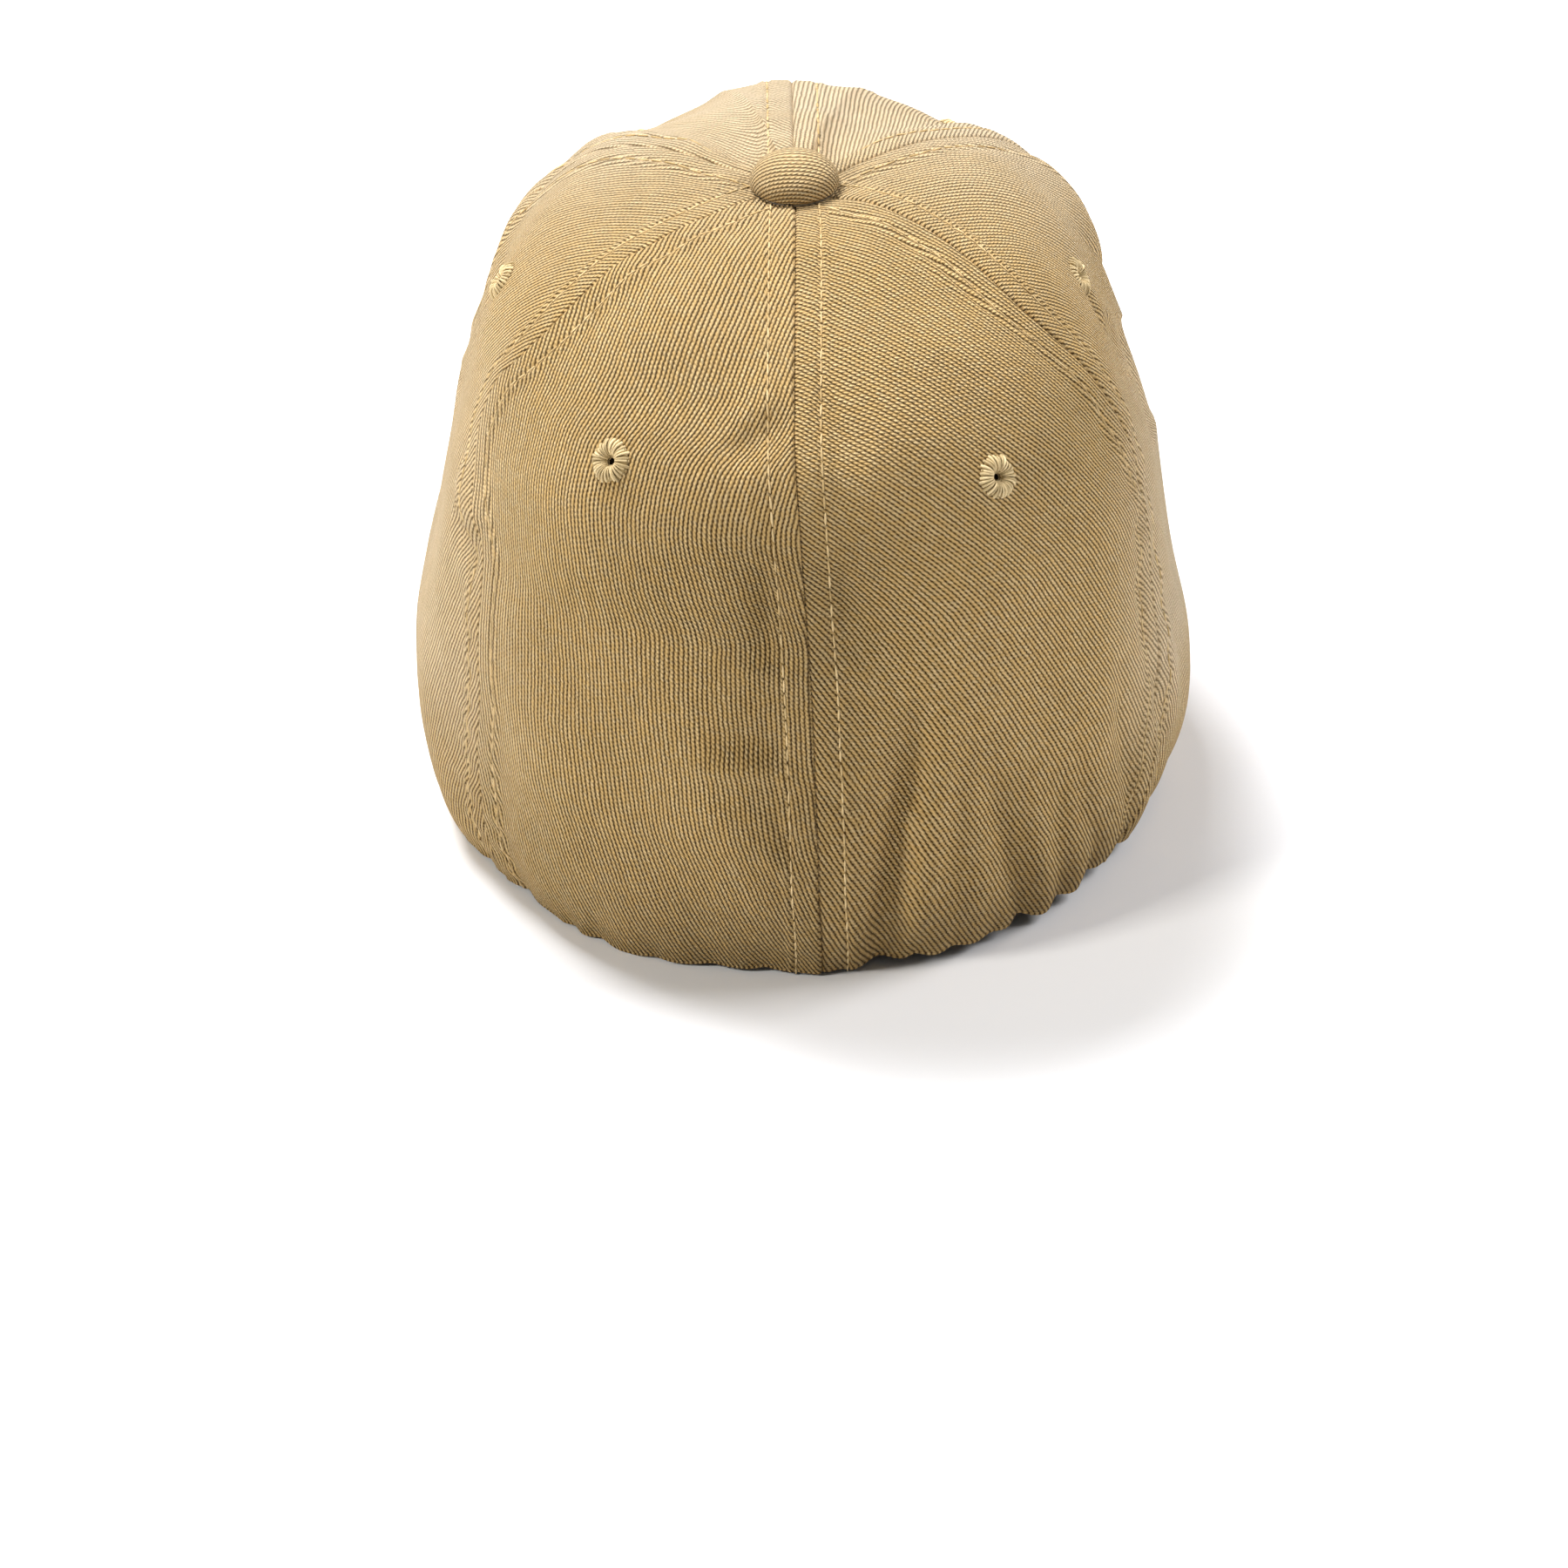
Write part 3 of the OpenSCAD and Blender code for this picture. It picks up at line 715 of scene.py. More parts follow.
visor = {
    "reach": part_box("visor_top_cover")[1].y,
    "halfWidth": 85 * mm,
    "corner": 118,
    "tipZ": 17 * mm,
    "sideZ": 3.5 * mm,
    "rootLength": 40 * mm,
    "outlinePower": 2.4,
    "seat": 3 * mm,
    "dome": 2.4 * mm,
    "columnEnd": 0.985,
    "cloth": 0.9 * mm,
    "stack": 3.7 * mm,            # top cover, board and under cover together
    "columns": 300,
    "rows": 96,
    "rowOut": (4.0, 10.2, 16.4, 22.6, 28.8, 35.0, 41.2, 47.4),   # stitch rows, mm in from the rim
    "stitchSink": 0.42 * mm,
    "seamTuck": 0.45 * mm,
}


def visorRoot(w):
    az = math.pi - w * math.radians(180 - visor["corner"])
    return crownPoint(az, vAtHeight(az, hemZ(az) + visor["seat"]))


def visorEdge(w):
    w = np.asarray(w, float)
    power = visor["outlinePower"]
    corner = visorRoot(np.ones(1))[0]
    tuck = math.pi - math.asin((corner[0] / visor["halfWidth"]) ** (power / 2))
    a = np.abs(w) * tuck
    c, s = np.cos(a), np.sin(a)
    widest = corner[1] + visor["rootLength"] * (-math.cos(tuck)) ** (2 / power)
    x = visor["halfWidth"] * np.clip(s, 0, 1) ** (2 / power)
    bend = np.abs(c) ** (2 / power)
    y = np.where(c >= 0, widest + (visor["reach"] - widest) * bend, widest - visor["rootLength"] * bend)
    z = mix(visor["tipZ"], visor["sideZ"], (x / visor["halfWidth"]) ** 2)
    z = mix(z, corner[2], np.clip(-c, 0, 1) ** 2)
    return np.stack([np.sign(w) * x, y, z], -1)


def visorPoint(w, s):
    w, s = np.broadcast_arrays(np.asarray(w, float), np.asarray(s, float))
    point = mix(visorRoot(w), visorEdge(w), s[..., None])
    point[..., 2] += visor["dome"] * s * (1 - s) * (1 - w * w)
    return point


def visorNormal(w, s):
    e = 1e-4
    n = np.cross(visorPoint(w, np.clip(s + e, 0, 1.01)) - visorPoint(w, s - e),
                 visorPoint(w + e, s) - visorPoint(w - e, s))
    n *= np.sign(n[..., 2:])
    return n / np.linalg.norm(n, axis=-1, keepdims=True)


def rimShare(w, distance):
    span = np.linalg.norm(visorEdge(w) - visorRoot(w), axis=-1)
    return 1 - distance / np.maximum(span, 1e-6)


def visorGroove(w, s):
    # how far the stitch rows draw a cover in
    span = np.linalg.norm(visorEdge(w) - visorRoot(w), axis=-1)
    fromRim = (1 - s) * span
    sink = np.zeros_like(fromRim)
    for out in visor["rowOut"]:
        sink = sink + hill(fromRim - out * mm, 0.8 * mm)
    return visor["stitchSink"] * np.clip(sink, 0, 1), fromRim


def buildVisorCover(name, under):
    w = np.linspace(-visor["columnEnd"], visor["columnEnd"], visor["columns"])[None, :]
    s = np.concatenate([np.linspace(0.0, 0.93, visor["rows"] - 26), np.linspace(0.93, 1, 27)[1:]])[:, None]
    w, s = np.broadcast_arrays(w, s)
    base, normal = visorPoint(w, s), visorNormal(w, s)
    sink, fromRim = visorGroove(w, s)
    half = visor["stack"] / 2
    drop = half - np.sqrt(np.clip(half ** 2 - np.clip(half - fromRim, 0, half) ** 2, 0, None))
    if under:
        face = np.maximum(visor["stack"] - drop - sink, half + 0.08 * mm)
        back = np.maximum(face - visor["cloth"], half + 0.02 * mm)
    else:
        face = np.clip(drop + sink, 0, half - 0.08 * mm)
        back = np.minimum(face + visor["cloth"], half - 0.02 * mm)
    outer = base - normal * face[..., None]
    inner = base - normal * back[..., None]
    tuckIn = visorRoot(w) - visorEdge(w)
    tuckIn /= np.linalg.norm(tuckIn, axis=-1, keepdims=True)
    inner = inner + tuckIn * (visor["seamTuck"] * hill(fromRim, 1.2 * mm))[..., None]
    uv = base[..., :2]
    if under:
        outer, inner, uv = outer[:, ::-1], inner[:, ::-1], uv[:, ::-1]
    return foldedSheet(name + "_cloth", outer, inner, None, uv), flatCut(uv)


for nodeName, under in (("visor_top_cover", False), ("visor_under_cover", True)):
    keepCloth(buildVisorCover(nodeName, under), nodeName, "cotton_twill")
print("cap: visor covered")


def feed(tree, socket, value):
    if isinstance(value, bpy.types.NodeSocket):
        tree.links.new(value, socket)
    else:
        socket.default_value = value


def place(tree, kind, values=None, **settings):
    node = tree.nodes.new(kind)
    for key, value in settings.items():
        setattr(node, key, value)
    for key, value in (values or {}).items():
        feed(tree, node.inputs[key], value)
    return node


def calc(tree, operation, *values):
    node = place(tree, "ShaderNodeMath", operation=operation)
    for socket, value in zip(node.inputs, values):
        feed(tree, socket, value)
    return node.outputs[0]


def newTree(name, inputs):
    tree = bpy.data.node_groups.new(name, "GeometryNodeTree")
    tree.interface.new_socket("Geometry", in_out="INPUT", socket_type="NodeSocketGeometry")
    for title, kind, value in inputs:
        socket = tree.interface.new_socket(title, in_out="INPUT", socket_type="NodeSocket" + kind)
        if value is not None:
            socket.default_value = value
    tree.interface.new_socket("Geometry", in_out="OUTPUT", socket_type="NodeSocketGeometry")
    return tree, tree.nodes.new("NodeGroupInput"), tree.nodes.new("NodeGroupOutput")


def seedPiece(name):
    mesh = bpy.data.meshes.new(name)
    mesh.from_pydata([(0, 0, 0)], [], [])
    return keepPiece(name, mesh)


def growPiece(piece, tree, values):
    # runs a tree on a piece and keeps the plain mesh that it makes
    modifier = piece.modifiers.new(tree.name, "NODES")
    modifier.node_group = tree
    for item in tree.interface.items_tree:
        if item.item_type == "SOCKET" and item.in_out == "INPUT" and item.name in values:
            modifier[item.identifier] = values[item.name]
    graph = bpy.context.evaluated_depsgraph_get()
    mesh = bpy.data.meshes.new_from_object(piece.evaluated_get(graph))
    piece.modifiers.remove(modifier)
    old = piece.data
    piece.data = mesh
    bpy.data.meshes.remove(old)
    mesh.name = piece.name
    return piece


def randomShare(tree, low, high, seed):
    pick = place(tree, "FunctionNodeRandomValue", {"Min": low, "Max": high, "Seed": seed}, data_type="FLOAT")
    return next(s for s in pick.outputs if s.enabled)


def randomVector(tree, low, high, seed):
    pick = place(tree, "FunctionNodeRandomValue", {"Seed": seed}, data_type="FLOAT_VECTOR")
    feed(tree, pick.inputs[0], low)
    feed(tree, pick.inputs[1], high)
    return pick.outputs[0]


def shadeEach(tree, instances, seed):
    # gives every thread a shade of its own
    values = {"Geometry": instances, "Name": "shade", "Value": randomShare(tree, 0.25, 1.0, seed)}
    kept = place(tree, "GeometryNodeStoreNamedAttribute", values, data_type="FLOAT", domain="INSTANCE")
    return kept.outputs[0]


def finishTree(tree, geometry, material, end):
    real = place(tree, "GeometryNodeRealizeInstances", {0: geometry})
    soft = place(tree, "GeometryNodeSetShadeSmooth", {0: real.outputs[0]})
    made = place(tree, "GeometryNodeSetMaterial", {"Geometry": soft.outputs[0], "Material": material})
    tree.links.new(made.outputs[0], end.inputs[0])


def makeStitchTree():
    tree, start, end = newTree("sewnRows", [
        ("Pitch", "Float", 3.3 * mm), ("Length", "Float", 2.8 * mm), ("Thick", "Float", 0.4 * mm),
        ("Sink", "Float", 0.05 * mm), ("Wander", "Float", 0.06), ("Seed", "Int", 1),
        ("Thread", "Material", None),
    ])
    rows = place(tree, "GeometryNodeMeshToCurve", {"Mesh": start.outputs["Geometry"]})
    points = place(tree, "GeometryNodeResampleCurve",
                   {"Curve": rows.outputs[0], "Length": start.outputs["Pitch"]}, mode="LENGTH")
    tangent = place(tree, "GeometryNodeInputTangent")
    out = place(tree, "GeometryNodeInputNamedAttribute", {"Name": "out"}, data_type="FLOAT_VECTOR")
    alongThread = place(tree, "FunctionNodeAlignRotationToVector", {"Vector": tangent.outputs[0]}, axis="Z")
    turned = place(tree, "FunctionNodeAlignRotationToVector",
                   {"Rotation": alongThread.outputs[0], "Vector": out.outputs[0]}, axis="X", pivot_axis="Z")
    wander = start.outputs["Wander"]
    low = calc(tree, "MULTIPLY", wander, -1.0)
    lowTurn = place(tree, "ShaderNodeCombineXYZ", {"X": low, "Y": low})
    highTurn = place(tree, "ShaderNodeCombineXYZ", {"X": wander, "Y": wander})
    shake = randomVector(tree, lowTurn.outputs[0], highTurn.outputs[0], start.outputs["Seed"])
    shaken = place(tree, "FunctionNodeRotateRotation",
                   {"Rotation": turned.outputs[0], "Rotate By": shake}, rotation_space="LOCAL")
    size = randomVector(tree, (0.88, 0.88, 0.9), (1.08, 1.08, 1.06), start.outputs["Seed"])
    ball = place(tree, "GeometryNodeMeshUVSphere", {"Segments": 7, "Rings": 6, "Radius": 0.5})
    thick = start.outputs["Thick"]
    scale = place(tree, "ShaderNodeCombineXYZ", {"X": calc(tree, "MULTIPLY", thick, 0.8), "Y": thick,
                                                 "Z": start.outputs["Length"]})
    shift = place(tree, "ShaderNodeCombineXYZ", {"X": calc(tree, "MULTIPLY", start.outputs["Sink"], -1.0)})
    stitch = place(tree, "GeometryNodeTransform", {"Geometry": ball.outputs[0], "Scale": scale.outputs[0],
                                                   "Translation": shift.outputs[0]})
    sewn = place(tree, "GeometryNodeInstanceOnPoints", {
        "Points": points.outputs[0], "Instance": stitch.outputs[0],
        "Rotation": shaken.outputs[0], "Scale": size})
    shaded = shadeEach(tree, sewn.outputs[0], start.outputs["Seed"])
    finishTree(tree, shaded, start.outputs["Thread"], end)
    return tree


def rowMesh(name, rows):
    # polylines with the outward direction kept on each point; rows are (points, outs)
    points = np.concatenate([p for p, _ in rows])
    outs = np.concatenate([o for _, o in rows])
    edges, first = [], 0
    for p, _ in rows:
        edges += [(first + i, first + i + 1) for i in range(len(p) - 1)]
        first += len(p)
    mesh = bpy.data.meshes.new(name)
    mesh.from_pydata(points.tolist(), edges, [])
    mesh.attributes.new("out", "FLOAT_VECTOR", "POINT").data.foreach_set("vector", outs.ravel())
    return keepPiece(name, mesh)


crownStitch = {
    "Pitch": 3.3 * mm, "Length": 3.0 * mm, "Thick": 0.5 * mm, "Sink": -0.16 * mm, "Wander": 0.07, "Seed": 3,
}
visorStitch = {
    "Pitch": 3.2 * mm, "Length": 2.9 * mm, "Thick": 0.55 * mm, "Sink": -0.08 * mm, "Wander": 0.05, "Seed": 8,
}
bandStitch = {
    "Pitch": 3.4 * mm, "Length": 3.0 * mm, "Thick": 0.44 * mm, "Sink": 0.0, "Wander": 0.05, "Seed": 13,
}


def crownRows():
    rows = []
    for k in range(6):
        for side in (-1, 1):
            v = np.linspace(-0.97, float(vNearApex(math.radians(seams["places"][k]), 10.5 * mm)), 400)
            line = seamAzimuth(k, v)
            base = crownPoint(line, v)
            reach = np.hypot(base[:, 0], base[:, 1])
            az = line + side * cloth["stitchOut"] / reach
            rows.append((clothPoint(az, v, 0, fine=True), crownNormal(az, v)))
    return rows


def visorRows():
    rows = []
    for under in (False, True):
        for out in visor["rowOut"]:
            w = np.linspace(-visor["columnEnd"], visor["columnEnd"], 700)
            s = rimShare(w, out * mm)
            w, s = w[s > 0.03], s[s > 0.03]
            normal = visorNormal(w, s)
            sink, _ = visorGroove(w, s)
            depth = visor["stack"] - sink if under else sink
            rows.append((visorPoint(w, s) - normal * depth[:, None], -normal if under else normal))
    return rows


def bandRows():
    az = np.linspace(0, 2 * math.pi, 900)
    rise = np.full(az.shape, sweatband["tall"] - sweatband["stitchBelow"])
    v = vAtHeight(az, hemZ(az) + rise)
    rows = [(clothPoint(az, v, bandDepth(az, rise)), -crownNormal(az, v))]
    half = 0.94 * math.asin(label["width"] / 2 / crownForm["backReach"])
    az = np.linspace(-half, half, 60)
    rise = np.full(az.shape, label["foot"] + label["height"] - label["stitchBelow"])
    v = vAtHeight(az, hemZ(az) + rise)
    depth = bandDepth(az, rise) + label["gap"] + label["thick"]
    rows.append((clothPoint(az, v, depth), -crownNormal(az, v)))
    return rows


def ringOf(tree, radius, thick, around, across):
    line = place(tree, "GeometryNodeCurvePrimitiveCircle", {"Resolution": around, "Radius": radius})
    section = place(tree, "GeometryNodeCurvePrimitiveCircle", {"Resolution": across, "Radius": thick})
    return place(tree, "GeometryNodeCurveToMesh",
                 {"Curve": line.outputs[0], "Profile Curve": section.outputs[0]}).outputs[0]


def makeEyeletTree():
    # threads laid over a flat ring on both faces of the cloth, and a tube through it
    tree, start, end = newTree("overcastRing", [
        ("Hole", "Float", 1 * mm), ("Rim", "Float", 4.4 * mm), ("Strand", "Float", 0.2 * mm),
        ("Rise", "Float", 0.6 * mm), ("Depth", "Float", 0.9 * mm), ("Stitches", "Int", 40),
        ("Seed", "Int", 5), ("Thread", "Material", None),
    ])
    hole, rim, rise = start.outputs["Hole"], start.outputs["Rim"], start.outputs["Rise"]
    line = place(tree, "GeometryNodeCurvePrimitiveLine", {"Start": (0, 0, 0), "End": (1, 0, 0)})
    bent = place(tree, "GeometryNodeResampleCurve", {"Curve": line.outputs[0], "Count": 9})
    at = place(tree, "ShaderNodeSeparateXYZ", {0: place(tree, "GeometryNodeInputPosition").outputs[0]})
    t = at.outputs["X"]
    bow = calc(tree, "POWER", calc(tree, "ABSOLUTE", calc(tree, "MULTIPLY_ADD", t, 2.0, -1.0)), 2.2)
    top = calc(tree, "MULTIPLY", calc(tree, "SUBTRACT", 1.0, bow), calc(tree, "ADD", rise, 0.35 * mm))
    z = calc(tree, "SUBTRACT", top, 0.35 * mm)
    r = calc(tree, "MULTIPLY_ADD", t, calc(tree, "SUBTRACT", rim, hole), hole)
    path = place(tree, "GeometryNodeSetPosition", {
        "Geometry": bent.outputs[0],
        "Position": place(tree, "ShaderNodeCombineXYZ", {"X": r, "Z": z}).outputs[0]})
    span = place(tree, "GeometryNodeSplineParameter").outputs["Factor"]
    width = calc(tree, "MULTIPLY", start.outputs["Strand"], calc(tree, "MULTIPLY_ADD", span, 0.75, 0.45))
    section = place(tree, "GeometryNodeCurvePrimitiveCircle", {"Resolution": 6, "Radius": 1.0})
    thread = place(tree, "GeometryNodeCurveToMesh", {
        "Curve": path.outputs[0], "Profile Curve": section.outputs[0], "Scale": width, "Fill Caps": True})
    spots = place(tree, "GeometryNodeMeshLine", {"Count": start.outputs["Stitches"], "Offset": (0, 0, 0)})
    step = calc(tree, "DIVIDE", math.tau, start.outputs["Stitches"])
    jitter = randomShare(tree, -0.045, 0.045, start.outputs["Seed"])
    index = place(tree, "GeometryNodeInputIndex").outputs[0]
    turn = calc(tree, "ADD", calc(tree, "MULTIPLY", index, step), jitter)
    euler = place(tree, "FunctionNodeEulerToRotation",
                  {0: place(tree, "ShaderNodeCombineXYZ", {"Z": turn}).outputs[0]})
    size = randomVector(tree, (0.92, 1.0, 0.8), (1.06, 1.15, 1.15), start.outputs["Seed"])
    sewn = place(tree, "GeometryNodeInstanceOnPoints", {
        "Points": spots.outputs[0], "Instance": thread.outputs[0],
        "Rotation": euler.outputs[0], "Scale": size})
    middle = calc(tree, "MULTIPLY", calc(tree, "ADD", hole, rim), 0.5)
    core = ringOf(tree, middle, calc(tree, "MULTIPLY", calc(tree, "SUBTRACT", rim, hole), 0.46), 48, 12)
    flatCore = place(tree, "GeometryNodeTransform", {"Geometry": core, "Scale": (1, 1, 0.30)})
    face = place(tree, "GeometryNodeJoinGeometry")
    tree.links.new(shadeEach(tree, sewn.outputs[0], start.outputs["Seed"]), face.inputs[0])
    tree.links.new(flatCore.outputs[0], face.inputs[0])
    depth = start.outputs["Depth"]
    down = place(tree, "ShaderNodeCombineXYZ", {"Z": calc(tree, "MULTIPLY", depth, -1.0)})
    backFace = place(tree, "GeometryNodeTransform", {
        "Geometry": face.outputs[0], "Translation": down.outputs[0], "Rotation": (math.pi, 0, 0),
        "Scale": (0.82, 0.82, 0.6)})
    liner = ringOf(tree, calc(tree, "ADD", hole, 0.42 * mm), 0.4 * mm, 32, 10)
    half = place(tree, "ShaderNodeCombineXYZ", {"Z": calc(tree, "MULTIPLY", depth, -0.5)})
    tube = place(tree, "GeometryNodeTransform", {"Geometry": liner, "Translation": half.outputs[0],
                                                 "Scale": (1, 1, 1.9)})
    whole = place(tree, "GeometryNodeJoinGeometry")
    for part in (face, backFace, tube):
        tree.links.new(part.outputs[0], whole.inputs[0])
    finishTree(tree, whole.outputs[0], start.outputs["Thread"], end)
    return tree


def buildEyelet(name, tree, material):
    azDegrees, v = eyelets[name]
    az = math.radians(azDegrees)
    step = 2.5 * mm / crownForm["halfWidth"]
    centre = clothPoint(az, v, 0)
    across = clothPoint(az + step, v, 0) - clothPoint(az - step, v, 0)
    up = clothPoint(az, v + 0.03, 0) - clothPoint(az, v - 0.03, 0)
    normal = Vector(np.cross(across, up)).normalized()
    x = Vector(across).normalized()
    y = normal.cross(x)
    piece = seedPiece(name + "_stitching")
    depth = crownForm["cloth"] + (eyeletLook["throughFront"] if "front" in name else 0)
    growPiece(piece, tree, {
        "Hole": eyeletLook["hole"], "Rim": eyeletLook["rim"], "Strand": eyeletLook["thread"],
        "Rise": eyeletLook["rise"], "Depth": depth, "Stitches": eyeletLook["stitches"],
        "Seed": eyeletLook["seed"] + azDegrees, "Thread": material})
    piece.data.transform(Matrix((x, y, normal)).transposed().to_4x4())
    piece.data.transform(Matrix.Translation(Vector(centre) + normal * eyeletLook["lift"]))
    return piece


button = {
    "radius": 9.5 * mm,
    "height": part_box("button_cover")[1].z - crownForm["height"],
    "belt": 1.5 * mm,             # height of the widest line
    "wall": 0.85 * mm,
    "tuck": 42,                   # degrees that the cloth wraps under
    "segments": 120,
    "rings": 90,
    "wrapReach": 8.1 * mm,        # arc from the pole for each radian, for the cut
    "footShare": 0.42,            # the same below the widest line, as a share of it
}


def makeButtonTree():
    tree, start, end = newTree("coveredButton", [
        ("Radius", "Float", 9.5 * mm), ("Height", "Float", 7.8 * mm), ("Belt", "Float", 1.5 * mm),
        ("Wall", "Float", 0.85 * mm), ("Tuck", "Float", 0.7), ("Wrap", "Float", 8.1 * mm),
        ("Segments", "Int", 120), ("Rings", "Int", 90), ("Cloth", "Material", None),
    ])
    segments = calc(tree, "ADD", start.outputs["Segments"], 1.0)
    rings = calc(tree, "ADD", start.outputs["Rings"], 1.0)
    grid = place(tree, "GeometryNodeMeshGrid", {"Size X": 1.0, "Size Y": 1.0, "Vertices X": segments,
                                                "Vertices Y": rings})
    at = place(tree, "ShaderNodeSeparateXYZ", {0: place(tree, "GeometryNodeInputPosition").outputs[0]})
    turn = calc(tree, "MULTIPLY", calc(tree, "ADD", at.outputs["X"], 0.5), math.tau)
    outside = calc(tree, "GREATER_THAN", at.outputs["Y"], 0.0)
    share = calc(tree, "MULTIPLY", calc(tree, "ABSOLUTE", at.outputs["Y"]), 2.0)      # 0 at rim, 1 at pole
    low = calc(tree, "MULTIPLY", start.outputs["Tuck"], -1.0)
    angle = calc(tree, "MULTIPLY_ADD", share, calc(tree, "ADD", start.outputs["Tuck"], math.pi / 2), low)
    inset = calc(tree, "MULTIPLY", start.outputs["Wall"], calc(tree, "SUBTRACT", 1.0, outside))
    radius = calc(tree, "SUBTRACT", start.outputs["Radius"], inset)
    above = calc(tree, "GREATER_THAN", angle, 0.0)
    crest = calc(tree, "SUBTRACT", start.outputs["Height"], start.outputs["Belt"])
    crest = calc(tree, "SUBTRACT", crest, inset)
    under = calc(tree, "MULTIPLY", start.outputs["Belt"], 1.25)
    tall = calc(tree, "ADD", calc(tree, "MULTIPLY", crest, above),
                calc(tree, "MULTIPLY", under, calc(tree, "SUBTRACT", 1.0, above)))
    cosine = calc(tree, "MAXIMUM", calc(tree, "COSINE", angle), 0.0)
    r = calc(tree, "MULTIPLY", radius, calc(tree, "POWER", cosine, 0.86))
    z = calc(tree, "ADD", calc(tree, "MULTIPLY", calc(tree, "SINE", angle), tall), start.outputs["Belt"])
    x = calc(tree, "MULTIPLY", r, calc(tree, "COSINE", turn))
    y = calc(tree, "MULTIPLY", r, calc(tree, "SINE", turn))
    spot = place(tree, "ShaderNodeCombineXYZ", {"X": x, "Y": y, "Z": z})
    dome = calc(tree, "SUBTRACT", math.pi / 2, calc(tree, "MAXIMUM", angle, 0.0))
    foot = calc(tree, "MULTIPLY", calc(tree, "MINIMUM", angle, 0.0), -button["footShare"])
    wrap = calc(tree, "MULTIPLY", calc(tree, "ADD", dome, foot), start.outputs["Wrap"])
    cut = place(tree, "ShaderNodeCombineXYZ", {"X": calc(tree, "MULTIPLY", wrap, calc(tree, "COSINE", turn)),
                                               "Y": calc(tree, "MULTIPLY", wrap, calc(tree, "SINE", turn))})
    kept = place(tree, "GeometryNodeStoreNamedAttribute", {"Geometry": grid.outputs[0], "Name": "cut",
                                                           "Value": cut.outputs[0]},
                 data_type="FLOAT2", domain="CORNER")
    shaped = place(tree, "GeometryNodeSetPosition",
                   {"Geometry": kept.outputs[0], "Position": spot.outputs[0]})
    welded = place(tree, "GeometryNodeMergeByDistance",
                   {"Geometry": shaped.outputs[0], "Distance": 0.01 * mm})
    finishTree(tree, welded.outputs[0], start.outputs["Cloth"], end)
    return tree


def buildButton(material):
    piece = seedPiece("button_cover_cloth")
    growPiece(piece, makeButtonTree(), {
        "Radius": button["radius"], "Height": button["height"], "Belt": button["belt"],
        "Wall": button["wall"], "Tuck": math.radians(button["tuck"]), "Wrap": button["wrapReach"],
        "Segments": button["segments"], "Rings": button["rings"], "Cloth": material})
    piece.data.transform(Matrix.Translation((0, 0, crownForm["height"])))
    return piece


def noise(tree, vector, scale, detail=2.0, roughness=0.5):
    node = place(tree, "ShaderNodeTexNoise", {"Vector": vector, "Scale": scale, "Detail": detail,
                                              "Roughness": roughness})
    return node.outputs["Fac"]


def combine(tree, x, y, z=0.0):
    return place(tree, "ShaderNodeCombineXYZ", {"X": x, "Y": y, "Z": z}).outputs[0]


def blendColour(tree, factor, a, b, kind="MIX"):
    node = place(tree, "ShaderNodeMix", {0: factor, 6: a, 7: b}, data_type="RGBA", blend_type=kind)
    return node.outputs[2]


def newGroup(name, inputs, outputs):
    group = bpy.data.node_groups.new(name, "ShaderNodeTree")
    for title, kind, value in inputs:
        socket = group.interface.new_socket(title, in_out="INPUT", socket_type="NodeSocket" + kind)
        if value is not None:
            socket.default_value = value
    for title, kind in outputs:
        group.interface.new_socket(title, in_out="OUTPUT", socket_type="NodeSocket" + kind)
    return group, group.nodes.new("NodeGroupInput"), group.nodes.new("NodeGroupOutput")


